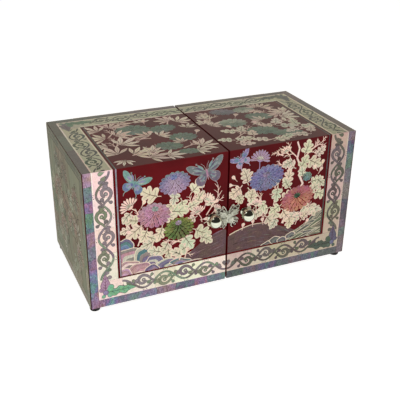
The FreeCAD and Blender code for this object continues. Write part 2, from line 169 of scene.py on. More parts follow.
def calculated(tree, operation, first, second=0.0):
    """The outcome of a calculation with two values or sockets."""
    return add(tree, "ShaderNodeMath", {0: first, 1: second}, operation=operation).outputs["Value"]


def mixed(tree, share, first, second, kind="RGBA"):
    """A colour or a plain value between two."""
    inputs = {"Factor": share, "A": first, "B": second}
    return add(tree, "ShaderNodeMix", inputs, data_type=kind).outputs["Result"]


def ranged(tree, value, low, high, from_low=0.3, from_high=0.7):
    """A noise value stretched to run from low to high."""
    return add(tree, "ShaderNodeMapRange", {
        "Value": value, "From Min": from_low, "From Max": from_high, "To Min": low, "To Max": high,
    }).outputs["Result"]


def rest_point(tree, stretch=(1, 1, 1)):
    """The point in the row frame at rest, stretched along its axes."""
    point = add(tree, "ShaderNodeTexCoord").outputs["Object"]
    return add(tree, "ShaderNodeMapping", {"Vector": point, "Scale": stretch}).outputs["Vector"]


def noise(tree, point, scale, detail=3.0, distortion=0.0):
    """A noise value at the point; scale counts its waves in a metre."""
    return add(tree, "ShaderNodeTexNoise", {
        "Vector": point, "Scale": scale, "Detail": detail, "Distortion": distortion,
    }).outputs["Fac"]


def ramp(tree, value, *stops):
    """A colour ramp from (place, display colour) stops."""
    made = add(tree, "ShaderNodeValToRGB", {"Fac": value})
    elements = made.color_ramp.elements
    while len(elements) < len(stops):
        elements.new(0.5)
    for element, (place, colour) in zip(elements, stops):
        element.position = place
        element.color = (*linear(colour), 1)
    return made.outputs["Color"]


def bump(tree, shader, height, strength, distance):
    """Relief on the shader's surface; distance is in metres."""
    made = add(tree, "ShaderNodeBump", {"Height": height, "Strength": strength, "Distance": distance})
    tree.links.new(made.outputs["Normal"], shader.inputs["Normal"])


def set_up(shader, **values):
    """Sets the shader's own sockets; a name's underscores stand for blanks."""
    for name, value in values.items():
        shader.inputs[name.replace("_", " ")].default_value = value


def paint(tree, shader, colour):
    """Takes the shader's colour from a socket."""
    tree.links.new(colour, shader.inputs["Base Color"])


def clear_coat(shader, weight=1.0):
    """The polished top coat that lacquer and inlay share."""
    set_up(shader, Coat_Weight=weight, Coat_IOR=1.17, Coat_Roughness=0.035, Specular_IOR_Level=0.0)


def shell_material(name, hue_swing, light_swing, patch_scale, saturation=1.0, coat=1.0):
    """Mother-of-pearl: each piece's own tint, drifting in hue over patches, streaked by its growth and
    flecked with painted glints.
    """
    material, tree, shader = new_material(name)
    tint = add(tree, "ShaderNodeAttribute", attribute_name="tint").outputs["Color"]
    patches = noise(tree, rest_point(tree, (1, 1, 0.6)), patch_scale, distortion=1.2)
    streaks = noise(tree, rest_point(tree, (1, 1, 0.45)), 620.0, detail=2.0, distortion=2.0)
    # Painted glints: small cells of the shell's colour made a little lighter and darker
    sparkle = add(tree, "ShaderNodeTexVoronoi", {"Vector": rest_point(tree), "Scale": 900.0}).outputs["Color"]
    glints = add(tree, "ShaderNodeSeparateColor", {"Color": sparkle}).outputs["Red"]
    light = calculated(tree, "MULTIPLY", ranged(tree, streaks, 1 - light_swing, 1 + light_swing),
                       ranged(tree, glints, 1 - light_swing / 4, 1 + light_swing / 4, 0, 1))
    hue = ranged(tree, patches, 0.5 - hue_swing, 0.5 + hue_swing)
    inputs = {"Hue": hue, "Value": light, "Saturation": saturation, "Color": tint}
    paint(tree, shader, add(tree, "ShaderNodeHueSaturation", inputs).outputs["Color"])
    set_up(shader, Roughness=0.34)
    clear_coat(shader, coat)
    bump(tree, shader, streaks, 0.12, 0.0002)
    return material


def lacquer_material(name, deep, bright):
    """Polished lacquer, a little uneven in depth."""
    material, tree, shader = new_material(name)
    cloud = noise(tree, rest_point(tree), 26.0, detail=4.0, distortion=0.4)
    paint(tree, shader, ramp(tree, cloud, (0.35, deep), (0.65, bright)))
    set_up(shader, Roughness=0.3)
    clear_coat(shader)
    return material


def metal_material(name, dark, light, roughness, grain, bumpiness=0.0, metallic=1.0):
    """Metal with a fine drift in tone and, if bumpy, a cast skin; a frosted plating is partly metallic."""
    material, tree, shader = new_material(name)
    drift = noise(tree, rest_point(tree), grain, detail=5.0, distortion=0.3)
    paint(tree, shader, ramp(tree, drift, (0.3, dark), (0.7, light)))
    set_up(shader, Metallic=metallic)
    tree.links.new(ranged(tree, drift, roughness * 0.8, roughness * 1.3), shader.inputs["Roughness"])
    if bumpiness:
        bump(tree, shader, drift, bumpiness, 0.0004)
    return material


def velvet_material(name, deep, bright):
    """Short velvet pile: nap in soft patches, fibres in fine grain, and a sheen."""
    material, tree, shader = new_material(name)
    point = rest_point(tree)
    nap = noise(tree, point, 45.0, detail=2.0, distortion=1.5)
    fibre = noise(tree, point, 2600.0, detail=2.0)
    both = ranged(tree, calculated(tree, "ADD", nap, fibre), 0, 1, 0.7, 1.3)
    paint(tree, shader, ramp(tree, both, (0.0, deep), (1.0, bright)))
    set_up(shader, Roughness=0.9, Specular_IOR_Level=0.15, Sheen_Weight=0.7, Sheen_Roughness=0.4,
           Sheen_Tint=(*linear(VELVET_SHEEN), 1))
    bump(tree, shader, fibre, 0.5, 0.0003)
    return material


def wood_material(name, dark, light):
    """Fine straight-grained wood, sealed."""
    material, tree, shader = new_material(name)
    grain = noise(tree, rest_point(tree, (0.08, 1, 1)), 520.0, detail=5.0, distortion=0.8)
    paint(tree, shader, ramp(tree, grain, (0.3, dark), (0.7, light)))
    set_up(shader, Roughness=0.45, Coat_Weight=0.3, Coat_Roughness=0.2)
    bump(tree, shader, grain, 0.2, 0.0002)
    return material


def rubber_material(name, colour):
    """Dull rubber with a fine grain."""
    material, tree, shader = new_material(name)
    grain = noise(tree, rest_point(tree), 1500.0, detail=2.0)
    paint(tree, shader, ramp(tree, grain, (0.3, colour), (0.7, blend_of(colour, (90, 90, 90), 0.2))))
    set_up(shader, Roughness=0.65, Specular_IOR_Level=0.3)
    bump(tree, shader, grain, 0.2, 0.0002)
    return material


def mirror_material(name, dark, light):
    """Silvered glass with a faint unevenness in its silver."""
    material, tree, shader = new_material(name)
    paint(tree, shader, ramp(tree, noise(tree, rest_point(tree), 12.0), (0.3, dark), (0.7, light)))
    set_up(shader, Metallic=1.0, Roughness=0.02)
    return material


def side_material(name, lacquer):
    """The end panels: grey-green shell with faint upright growth lines outside, lacquer elsewhere."""
    material, tree, shader = new_material(name)
    place = add(tree, "ShaderNodeSeparateXYZ", {"Vector": rest_point(tree)}).outputs["X"]
    outer = calculated(tree, "GREATER_THAN", calculated(tree, "ABSOLUTE", place), (end_x + 0.1) * MM)
    growth = noise(tree, rest_point(tree, (1, 1, 0.22)), 95.0, detail=5.0, distortion=1.6)
    cloud = noise(tree, rest_point(tree, (1, 1, 0.6)), 22.0, distortion=0.8)
    streaks = ramp(tree, growth, (0.30, (110, 98, 78)), (0.42, (148, 154, 124)), (0.55, (180, 182, 152)),
                   (0.68, (136, 150, 122)), (0.78, (202, 194, 168)))
    patches = ramp(tree, cloud, (0.35, (164, 128, 108)), (0.5, (144, 146, 116)), (0.68, (116, 136, 110)))
    shell = mixed(tree, 0.45, streaks, patches)
    paint(tree, shader, mixed(tree, outer, (*linear(lacquer), 1), shell))
    set_up(shader, Roughness=0.34)
    clear_coat(shader, END_COAT)
    return material


def plain_name(material):
    """A material's name without the number that Blender may add."""
    return material.name.split(".")[0]


END_COAT = 0.26
RED_DEEP, RED_BRIGHT = (78, 6, 12), (96, 8, 16)
DARK_DEEP, DARK_BRIGHT = (34, 7, 9), (46, 9, 12)
materials = {plain_name(made): made for made in (
    lacquer_material("red_lacquer", RED_DEEP, RED_BRIGHT),
    lacquer_material("dark_lacquer", DARK_DEEP, DARK_BRIGHT),
    side_material("nacre_veneer", lacquer=DARK_BRIGHT),
    wood_material("drawer_wood", dark=(70, 30, 18), light=(104, 52, 30)),
    velvet_material("velvet", deep=(52, 4, 14), bright=(92, 10, 28)),
    velvet_material("felt", deep=(20, 18, 18), bright=(44, 40, 40)),
    mirror_material("mirror_glass", dark=(226, 232, 230), light=(238, 241, 240)),
    metal_material("polished_silver", (206, 210, 192), (220, 224, 206), roughness=0.05, grain=60.0),
    metal_material("antique_silver", (168, 172, 156), (232, 234, 220), roughness=0.42, grain=420.0,
                   bumpiness=0.3, metallic=0.45),
    metal_material("brass", (150, 112, 56), (198, 158, 92), roughness=0.24, grain=160.0),
    metal_material("steel_fasteners", (128, 128, 126), (170, 170, 168), roughness=0.3, grain=300.0),
    rubber_material("black_rubber", (22, 22, 22)),
)}
inlay_materials = [
    shell_material("pale_shell", hue_swing=0.03, light_swing=0.12, patch_scale=70.0),
    shell_material("abalone_shell", hue_swing=0.05, light_swing=0.22, patch_scale=110.0, saturation=0.8),
    lacquer_material("lacquer_line", INK, blend_of(INK, RED_DEEP, 0.4)),
    shell_material("mottled_shell", hue_swing=0.19, light_swing=0.5, patch_scale=90.0, saturation=0.95),
]
end_shell = shell_material("end_shell", hue_swing=0.03, light_swing=0.34, patch_scale=60.0, coat=END_COAT)


def finish_cad_nodes():
    """Each CAD node takes the finish of the record's slot that it was packed with."""
    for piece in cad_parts.values():
        for place in piece.material_slots:
            place.material = materials[plain_name(place.material)]


# Outlines, as complex numbers: across + 1j * up, in millimetres
def turned(degrees):
    """The factor that turns an outline."""
    return np.exp(1j * math.radians(degrees))


def spline(before, here, after, later, steps):
    """A smooth curve from each point to the next, in that many steps."""
    t = np.linspace(0, 1, steps, endpoint=False)[:, None]
    return (0.5 * (2 * here + (after - before) * t + (2 * before - 5 * here + 4 * after - later) * t ** 2
                   + (3 * here - before - 3 * after + later) * t ** 3)).T.ravel()


def smooth_closed(points, steps=5):
    """A closed curve through the points."""
    p = np.asarray(points, complex)
    return spline(np.roll(p, 1), p, np.roll(p, -1), np.roll(p, -2), steps)


def smooth_open(points, steps=8):
    """A curve through the points, from the first to the last."""
    p = np.asarray(points, complex)
    p = np.concatenate([[2 * p[0] - p[1]], p, [2 * p[-1] - p[-2]]])
    return np.append(spline(p[:-3], p[1:-2], p[2:-1], p[3:], steps), p[-2])


def band(path, width_start, width_end=None, middle=None):
    """The two edges of a line along path, whose width runs from start over middle to end."""
    path = np.asarray(path, complex)
    width_end = width_start if width_end is None else width_end
    middle = (width_start + width_end) / 2 if middle is None else middle
    widths = np.interp(np.linspace(0, 1, len(path)), [0, 0.5, 1], [width_start, middle, width_end])
    along = np.gradient(path)
    side = 1j * along / np.abs(along) * widths / 2
    return np.array([path + side, path - side])


def blade(length, width, fullness=1.0, steps=9):
    """A leaf or petal along the real axis, pointed at both ends; with fullness under 1 its root is full."""
    t = np.linspace(0, 1, steps)
    half = width / 2 * np.sin(np.pi * t ** fullness) ** 0.8
    return np.concatenate([t * length - 1j * half, (t * length + 1j * half)[-2:0:-1]])


def drop(length, radius):
    """A drop along the real axis, from its point at 0 to its round end."""
    angle = np.linspace(-0.72 * np.pi, 0.72 * np.pi, 12)
    return np.concatenate([[0], length - radius + radius * np.exp(1j * angle)])


def disc(radius, steps=12):
    """A round outline about 0."""
    return radius * np.exp(2j * np.pi * np.arange(steps) / steps)


def block(left, low, right, high):
    """The outline of a rectangle."""
    return np.array([left + 1j * low, right + 1j * low, right + 1j * high, left + 1j * high])


def area_of(outline):
    """The area inside an outline, below 0 if it runs clockwise."""
    return 0.5 * np.sum(outline.real * np.roll(outline.imag, -1) - np.roll(outline.real, -1) * outline.imag)


def inset(outline, by):
    """The outline drawn in by a small width."""
    if area_of(outline) < 0:
        outline = outline[::-1]
    along = np.roll(outline, -1) - np.roll(outline, 1)
    return outline + 1j * along / np.maximum(np.abs(along), 1e-9) * by


def clipped(outline, left, low, right, high):
    """The part of a closed outline inside a rectangle."""
    for depth_of in (lambda p: p.real - left, lambda p: right - p.real,
                     lambda p: p.imag - low, lambda p: high - p.imag):
        kept = []
        for here, after in zip(outline, np.roll(outline, -1)):
            a, b = depth_of(here), depth_of(after)
            if a >= 0:
                kept.append(here)
            if a * b < 0:
                kept.append(here + (after - here) * a / (a - b))
        outline = np.array(kept, complex)
        if len(outline) < 3:
            return None
    return outline


def stretched(points, across, up):
    """Points scaled by one size across and by another up."""
    points = np.asarray(points, complex)
    return points.real * across + 1j * points.imag * up


def placed(pieces, at, turn=0.0, size=1.0, flip=False, squash=1.0):
    """A motif turned, flattened and set in its place."""
    moved = []
    for piece in pieces:
        outline = np.conj(piece.outline) if flip else piece.outline
        outline = outline * size * turned(turn)
        moved.append(piece._replace(outline=outline.real + 1j * outline.imag * squash + at))
    return moved


def mirrored(pieces):
    """A motif as it looks on the other side of 0."""
    return [piece._replace(outline=-np.conj(piece.outline)) for piece in pieces]


def rimmed(outline, tint, rim, lift, stuff=PALE_SHELL, rim_width=0.3):
    """A piece of shell whose cut edge has a tint of its own."""
    return [Piece(outline, rim, lift, PALE_SHELL), Piece(inset(outline, rim_width), tint, lift + 1, stuff)]


def crossings(outline, y):
    """Which edges of a closed outline cross the heights y, and how far across they do."""
    after = np.roll(outline, -1)
    rise = np.where(after.imag == outline.imag, 1e-9, after.imag - outline.imag)
    crossed = (outline.imag > y) != (after.imag > y)
    return crossed, outline.real + (y - outline.imag) * (after.real - outline.real) / rise


def inside(points, outline):
    """Whether all the points lie inside a closed outline."""
    crossed, where = crossings(outline, points.imag[:, None])
    beyond = crossed & (where > points.real[:, None])
    return (beyond.sum(axis=1) % 2 == 1).all()


def cells_inside(outline):
    """Where an outline lies on a face's map: its first row and column there, and which cells it covers."""
    column, last_column, row, last_row = (
        int(reach / map_cell) for reach in (
            outline.real.min() - map_corner.real, outline.real.max() - map_corner.real,
            outline.imag.min() - map_corner.imag, outline.imag.max() - map_corner.imag))
    x = map_corner.real + (np.arange(column, last_column + 1) + 0.5) * map_cell
    y = map_corner.imag + (np.arange(row, last_row + 1) + 0.5)[:, None] * map_cell
    crossed, where = crossings(outline, y)
    where = np.sort(np.where(crossed, where, np.inf), axis=1)
    covered = np.zeros((len(y), len(x)), bool)
    for k in range(crossed.sum(axis=1).max()):
        covered ^= x > where[:, k:k + 1]
    return row, column, covered


def new_mesh(name, points, faces):
    """A mesh of points in metres and faces."""
    mesh = bpy.data.meshes.new(name)
    mesh.from_pydata(points, [], faces)
    return mesh


def new_object(name, data):
    """An object of that data in the scene."""
    made = bpy.data.objects.new(name, data)
    bpy.context.scene.collection.objects.link(made)
    return made


class Sheet:
    """Thin pieces laid on one flat face, gathered into one mesh that rides on a body."""

    def __init__(self, name, body, place, slot="nacre_veneer", stuff=None, heights=None):
        """Heights are the lowest piece's, the step between two, and the highest, in millimetres."""
        self.name, self.body, self.place, self.slot = name, body, place, slot
        self.stuff = stuff or inlay_materials
        lowest, self.step, self.highest = heights or (lowest_inlay, layer_step, inlay_depth)
        self.points, self.faces, self.tints, self.stuffs = [], [], [], []
        self.point_count = 0
        map_shape = (int(map_size.imag / map_cell), int(map_size.real / map_cell))
        self.reached = np.full(map_shape, lowest - self.step)

    def lay(self, pieces):
        """Lays pieces in the order of their lift, each a step above whatever it covers."""
        for piece in sorted(pieces, key=lambda p: p.lift):
            is_band = piece.outline.ndim == 2
            outline = np.concatenate([piece.outline[0], piece.outline[1][::-1]]) if is_band else piece.outline
            row, column, covered = cells_inside(outline)
            under = self.reached[row:row + covered.shape[0], column:column + covered.shape[1]]
            height = (under[covered].max() if covered.any() else under.max()) + self.step
            height = min(self.highest, height)
            under[covered] = height
            if is_band:
                self._add_band(piece, height)
            else:
                self._add_plate(piece, height)

    def _add_points(self, flat, height, tint):
        """Adds points twice, on the ground and at the height, and returns the first one's number."""
        start = self.point_count
        self.point_count += 2 * len(flat)
        for h in (0.0, height):
            self.points.append(self.place(flat.real, flat.imag, np.full(len(flat), h)))
            self.tints.append(np.tile([*linear(tint), 1.0], (len(flat), 1)))
        return start

    def _add_face(self, face, stuff):
        """Adds a face and the number of its material."""
        self.faces.append(face)
        self.stuffs.append(stuff)

    def _add_plate(self, piece, height):
        """Adds a plate: its outline's face above and below, and a wall round it."""
        outline = piece.outline if area_of(piece.outline) > 0 else piece.outline[::-1]
        count = len(outline)
        start = self._add_points(outline, height, piece.tint)
        low, high = list(range(start, start + count)), list(range(start + count, start + 2 * count))
        self._add_face(high, piece.stuff)
        self._add_face(low[::-1], piece.stuff)
        for k in range(count):
            after = (k + 1) % count
            self._add_face([low[k], low[after], high[after], high[k]], piece.stuff)

    def _add_band(self, piece, height):
        """Adds a line of even steps between its two edges, closed all round."""
        left, right = piece.outline
        if area_of(np.concatenate([right, left[::-1]])) < 0:
            left, right = right, left
        count = len(left)
        start = self._add_points(np.concatenate([right, left]), height, piece.tint)
        r0, l0, r1, l1 = (start + k * count for k in range(4))
        for k in range(count - 1):
            self._add_face([r1 + k, r1 + k + 1, l1 + k + 1, l1 + k], piece.stuff)
            self._add_face([r0 + k, l0 + k, l0 + k + 1, r0 + k + 1], piece.stuff)
            self._add_face([r0 + k, r0 + k + 1, r1 + k + 1, r1 + k], piece.stuff)
            self._add_face([l0 + k + 1, l0 + k, l1 + k, l1 + k + 1], piece.stuff)
        for end, flip in ((0, False), (count - 1, True)):
            face = [r0 + end, r1 + end, l1 + end, l0 + end]
            self._add_face(face[::-1] if flip else face, piece.stuff)

    def build(self):
        """The sheet's mesh as one piece that rides on its body."""
        mesh = new_mesh(self.name, np.concatenate(self.points) * MM, self.faces)
        tint = mesh.attributes.new("tint", "FLOAT_COLOR", "POINT")
        tint.data.foreach_set("color", np.concatenate(self.tints).astype(np.float32).ravel())
        for material in self.stuff:
            mesh.materials.append(material)
        mesh.polygons.foreach_set("material_index", self.stuffs)
        mesh.update()
        piece = new_object(self.name, mesh)
        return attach(piece, self.body)


def on_front(across, up, height):
    """A point on a cover's front, that high above the sunk ground."""
    return np.stack([across, front_y + inlay_depth - height, up], axis=1)


def on_top(across, back, height):
    """A point on a cover's top, that high above the sunk ground."""
    return np.stack([across, back, top_z - inlay_depth + height], axis=1)


# Motifs of the inlay
LEAF_EDGES = {
    2: [0, 0.07 + 0.12j, 0.10 + 0.36j, 0.24 + 0.48j, 0.38 + 0.40j, 0.41 + 0.20j, 0.50 + 0.34j, 0.64 + 0.44j,
        0.75 + 0.34j, 0.74 + 0.17j, 0.86 + 0.23j, 0.97 + 0.13j, 1.03],
    3: [0, 0.05 + 0.10j, 0.07 + 0.30j, 0.17 + 0.42j, 0.28 + 0.36j, 0.30 + 0.18j, 0.37 + 0.36j, 0.48 + 0.48j,
        0.58 + 0.40j, 0.585 + 0.2j, 0.66 + 0.31j, 0.76 + 0.36j, 0.83 + 0.26j, 0.82 + 0.13j, 0.9 + 0.17j,
        0.98 + 0.1j, 1.03],
}
LEAF_RIBS = {2: ((0.16, 0.28 + 0.34j), (0.42, 0.66 + 0.3j)),
             3: ((0.1, 0.2 + 0.3j), (0.3, 0.5 + 0.34j), (0.52, 0.76 + 0.25j))}


def lobed_leaf(dice, length=20.0, width=15.0, lobes=2, tint=CREAM):
    """A chrysanthemum leaf: round lobes on both sides, with its ribs cut through to the lacquer."""
    bend = dice.uniform(-0.09, 0.09)

    def grown(points):
        """Points of the leaf at its size, bent along its length."""
        points = np.asarray(points, complex)
        return stretched(points + 1j * bend * np.sin(np.pi * points.real), length, width)

    edge = np.array(LEAF_EDGES[lobes], complex)
    above = edge.real + 1j * edge.imag * dice.uniform(0.88, 1.1)
    below = edge.real - 1j * edge.imag * dice.uniform(0.88, 1.1)
    outline = smooth_closed(grown(np.concatenate([below, above[-2:0:-1]])), 3)
    field = around(dice, blend_of(tint, PALE_GREEN, dice.uniform(0, 0.7)), 8)
    pieces = rimmed(outline, field, LEAF_RIM, 3, rim_width=0.45)
    rib = blend_of(field, RIB, 0.9)
    pieces.append(Piece(band(grown(np.linspace(0.03, 0.88, 6)), 0.9, 0.35), blend_of(rib, INK, 0.4), 5))
    for root, tip in LEAF_RIBS[lobes]:
        for across in (tip, np.conj(tip)):
            pieces.append(Piece(band(grown(np.linspace(root, across, 4)), 0.65, 0.3), rib, 5))
    stalk = band(grown([-0.18 - 0.04j, 0.0, 0.06]), 0.9, 0.7)
    pieces.append(Piece(stalk, blend_of(field, BLUSH, 0.5), 2))
    return pieces


def finger_leaf(dice, length, spread, tint, fullness):
    """A spray of five pointed leaves from one root, the middle one longest, each with its rib."""
    pieces = []
    field = around(dice, tint, 8)
    edge = blend_of(field, SPRAY_RIM, 0.7)
    wedge = math.tan(math.radians(spread / 2 - 3.5))
    for off in (-2, -1, 0, 1, 2):
        reach = length * (1 - 0.13 * abs(off)) * dice.uniform(0.86, 1.05)
        turn = turned(off * spread + dice.uniform(-3, 3))
        leaf = blade(reach, reach * fullness, 0.9, 10)
        room = np.maximum(leaf.real - 0.05 * reach, 0) * wedge
        leaf = (leaf.real + 1j * np.clip(leaf.imag, -room, room)) * turn
        pieces += rimmed(leaf, around(dice, field, 5), edge, 3, rim_width=0.3)
        rib = band(np.linspace(0.12, 0.8, 4) * reach * turn, 0.5, 0.25)
        pieces.append(Piece(rib, blend_of(field, RIB, 0.8), 5))
    return pieces


def petal_ring(count, inner, outer, gap=0.12, start=0.0, span=2 * np.pi):
    """The petals of a ring, side by side with a hairline of lacquer between them."""
    t = np.linspace(0, 1, 7)
    radius = inner + (outer - inner) * t
    spread = span / count / 2 * (1 - gap) * (0.62 + 0.38 * np.minimum(1, t / 0.6))
    spread = spread * np.sqrt(np.clip(1 - (np.clip((t - 0.62) / 0.38, 0, 1)) ** 2, 0, 1))
    petals = []
    for k in range(count):
        middle = start + span * (k + 0.5) / count
        petals.append(np.concatenate([radius * np.exp(1j * (middle - spread)),
                                      (radius * np.exp(1j * (middle + spread)))[-2::-1]]))
    return petals


def bloom(dice, width, height, hues, rings=((14, 0.36, 1.0), (11, 0.2, 0.74), (8, 0.05, 0.48)), heart=None,
          rise=0.2, edge=BLOOM_RIM, edge_share=0.4):
    """A full chrysanthemum seen a little from above: rings of petals, each nearer one set higher."""
    pieces = [Piece(disc(width / 2 * 0.8, 24), INK, 0, LACQUER_LINE)]
    for layer, (count, inner, outer) in enumerate(rings):
        offset = 1j * rise * layer * width / 2
        for petal in petal_ring(count, inner * width / 2, outer * width / 2, 0.08, start=0.21 * layer):
            angle = np.angle(petal.mean())
            share = (1 + math.sin(angle)) / 2
            at = (1 - share * (1 - 0.18 * layer)) * (len(hues) - 1)
            k = min(int(at), len(hues) - 2)
            tint = around(dice, blend_of(hues[k], hues[k + 1], at - k), 10)
            petal = petal + offset
            rim = blend_of(tint, edge, edge_share)
            pieces += rimmed(petal, tint, rim, 1 + 3 * layer, ABALONE, 0.4)
            middle = np.linspace(petal[0] * 0.7 + petal[len(petal) // 2] * 0.3,
                                 petal[0] * 0.15 + petal[len(petal) // 2] * 0.85, 3)
            middle = middle + (petal[-1] - petal[0]) / 2
            pieces.append(Piece(band(middle, 0.5, 0.3), blend_of(tint, INK, 0.35), 3 + 3 * layer, ABALONE))
    centre = 1j * rise * (len(rings) - 0.4) * width / 2
    heart = heart or hues[0]
    for petal in petal_ring(8, 0.01 * width, 0.11 * width, start=0.4):
        pieces.append(Piece(petal + centre, around(dice, heart, 20), 4 + 3 * len(rings), ABALONE))
    return placed(pieces, 0, squash=height / width)


def fan_flower(dice, radius=9.0, tint=BLUSH, petals=9, spread=170.0):
    """A small aster from the side: a fan of narrow petals on its cup, with a stalk."""
    span = math.radians(spread)
    edge = blend_of(tint, PETAL_RIM, 0.6)
    pieces = []
    for petal in petal_ring(petals, radius * 0.28, radius, 0.22, math.pi / 2 - span / 2, span):
        pieces += rimmed(petal, around(dice, tint, 8), edge, 3, rim_width=0.22)
    for petal in petal_ring(5, radius * 0.05, radius * 0.4, 0.2, math.pi / 2 - span / 3, span / 1.5):
        pieces.append(Piece(petal, around(dice, MIST, 10), 5))
    pieces.append(Piece(smooth_closed([-0.3, -0.16j, 0.3, 0.1j]) * radius, tint, 4))
    stalk = smooth_open([-0.1j * radius, (0.12 - 0.7j) * radius, (0.02 - 1.3j) * radius])
    pieces.append(Piece(band(stalk, 0.9, 0.7), tint, 2))
    return pieces


def bud(dice, length=6.0):
    """A round bud on a short stalk."""
    pieces = rimmed(drop(length, length * 0.32), around(dice, BLUSH, 8), BUD_RIM, 3, rim_width=0.3)
    pieces.append(Piece(band(np.linspace(-length * 0.5, length * 0.3, 4), 0.6, 0.6), BLUSH, 2))
    return pieces


def twig(dice, length, width=1.4, tint=BLUSH, forks=2):
    """A bare twig of three slightly bent lengths, forked that many times over."""
    bend = 8.0
    steps = [0j]
    heading = 0.0
    for _ in range(3):
        heading += dice.uniform(-bend, bend)
        steps.append(steps[-1] + length / 3 * turned(heading))
    spine = smooth_open(steps, 4)
    pieces = [Piece(band(spine, width, width * 0.4), tint, 2)]
    if forks:
        for share, side in ((0.36, 1), (0.56, -1), (0.78, 1)):
            root = spine[int(share * (len(spine) - 1))]
            turn = side * dice.uniform(30, 44)
            shoot = twig(dice, length * dice.uniform(0.36, 0.5), width * 0.74, tint, forks - 1)
            pieces += placed(shoot, root, turn)
    return pieces


FORE_WING = [0.02 + 0.06j, 0.30 + 0.34j, 0.72 + 0.62j, 1.0 + 0.60j, 0.86 + 0.26j, 0.5, 0.1 - 0.06j]
HIND_WING = [0.03 - 0.04j, 0.4 - 0.06j, 0.66 - 0.22j, 0.62 - 0.52j, 0.36 - 0.66j, 0.12 - 0.42j]


def butterfly(dice, span, tints, edge, body_tint):
    """A butterfly from above, its head up: fore and hind wings with cells, a body, feelers and tails."""
    half = span / 2
    pieces = []
    for wing, tint, reach, heading in ((FORE_WING, tints[0], 0.86, 34), (HIND_WING, tints[1], 0.56, -42)):
        pieces += rimmed(smooth_closed(wing) * half, around(dice, tint, 8), edge, 2, ABALONE, 0.3)
        for k, fan in enumerate((-21, -7, 7, 21)):
            length = half * reach * (0.66 - 0.08 * abs(k - 1.5))
            cell = blade(length, half * 0.13, 0.8) * turned(heading + fan * 0.8)
            cell = cell + half * 0.24 * turned(heading + fan)
            tone = around(dice, tints[2 + k % 2], 14)
            pieces += rimmed(cell, tone, blend_of(edge, tone, 0.4), 4, ABALONE, 0.22)
        for fan in (-16, 2, 18):
            spot = disc(half * 0.05, 8) + half * (reach * 0.95 - abs(fan - 2) * 0.004) * turned(heading + fan)
            pieces.append(Piece(spot, blend_of(edge, tints[0], 0.3), 6))
    feeler = smooth_open([0.03 + 0.1j, 0.08 + 0.36j, 0.22 + 0.56j]) * half
    pieces.append(Piece(band(feeler, 0.45, 0.3), edge, 3))
    tail = smooth_open([0.3 - 0.6j, 0.42 - 0.78j, 0.4 - 0.98j]) * half
    pieces.append(Piece(band(tail, 0.8, 0.4), edge, 2))
    pieces += mirrored(pieces)
    body = smooth_closed([0.18j, 0.055 + 0.08j, 0.04 - 0.2j, -0.44j, -0.04 - 0.2j, -0.055 + 0.08j]) * half
    return pieces + rimmed(body, body_tint, edge, 5, ABALONE, 0.2)


def rock(dice, width, height, tints, layers=5):
    """A rock like cut agate: uneven bands one inside the other, the outer one edged with cream."""
    angle = np.linspace(0, 2 * np.pi, 30, endpoint=False)
    swell, phase = dice.uniform(0.06, 0.14), dice.uniform(0, 6)
    radius = 1 + swell * np.sin(2 * angle + phase) + 0.05 * np.sin(5 * angle + 2 * phase)
    shape = radius * (width / 2 * np.cos(angle) + 1j * height / 2 * np.sin(angle))
    foot = -0.42 * width * dice.choice((-0.4, 0.4)) - 0.46j * height
    pieces = []
    for k in range(layers):
        ring = (shape - foot) * (1 - k / (layers + 0.3)) + foot
        tint = around(dice, tints[k % len(tints)], 10)
        edge = ROCK_RIM if k == 0 else blend_of(tint, INK if k % 2 else CREAM, 0.4)
        pieces += rimmed(ring, tint, edge, 1 + 2 * k, ABALONE, 0.8 if k == 0 else 0.35)
    return pieces


WAVE_TONGUE = [0, 0.22 + 0.2j, 0.48 + 0.56j, 0.74 + 0.92j, 0.88 + 1.0j, 1.0 + 0.93j, 1.03 + 0.76j,
               0.97 + 0.62j, 0.92 + 0.3j, 0.8 - 0.06j, 0.54 - 0.2j, 0.26 - 0.16j]


def surge(dice, length, rise, tint):
    """A tongue of a wave that sweeps up to the right and curls over, with lines of foam along it."""
    outline = smooth_closed(stretched(WAVE_TONGUE, length, rise), 4)
    pieces = rimmed(outline, around(dice, tint, 8), FOAM, 1, ABALONE, 0.7)
    for share, tone in ((0.25, blend_of(tint, INK, 0.4)), (0.5, FOAM), (0.75, blend_of(tint, INK, 0.3))):
        line = [0.16, 0.4 + 0.34j - 0.3j * share, 0.64 + 0.66j - 0.5j * share, 0.86 + 0.84j - 0.6j * share,
                0.93 + 0.74j - 0.5j * share]
        line = smooth_open(stretched(line, length, rise), 4)
        pieces.append(Piece(band(line, 0.3, 0.4, 0.75), tone, 3))
    return pieces


def bank(dice, outline, tints, strokes, sweep):
    """A broad earth bank of dark shell with flowing strokes of other shell."""
    pieces = [Piece(outline, tints[0], 0, ABALONE)]
    left, right = outline.real.min(), outline.real.max()
    low, high = outline.imag.min(), outline.imag.max()
    for _ in range(strokes):
        x = dice.uniform(left, right)
        y = dice.uniform(low, high)
        length = dice.uniform(5, 15)
        path = smooth_open([x + 1j * y, x + length * 0.5 + 1j * (y + sweep(x) * length * 0.5),
                            x + length + 1j * (y + sweep(x + length) * length)], 4)
        if inside(path[[0, -1, len(path) // 2]], outline):
            tint = around(dice, dice.choice(tints), 14)
            pieces.append(Piece(band(path, 0.2, 0.2, dice.uniform(0.6, 1.5)), tint, 1, ABALONE))
    return pieces


# The scroll border
def vine(path, start, end, middle, tint):
    """A stem of dark-edged shell along a path, with its widths at both ends and in the middle."""
    outer = band(path, start + 0.55, end + 0.45, middle + 0.55)
    return [Piece(outer, VINE_EDGE, 1), Piece(band(path, start, end, middle), tint, 2, ABALONE)]


def vine_leaf(outline, tint, at=0, heading=0.0):
    """A leaf of the scroll with a dark cut edge."""
    return rimmed(outline * turned(heading) + at, tint, VINE_EDGE, 2, ABALONE, 0.3)


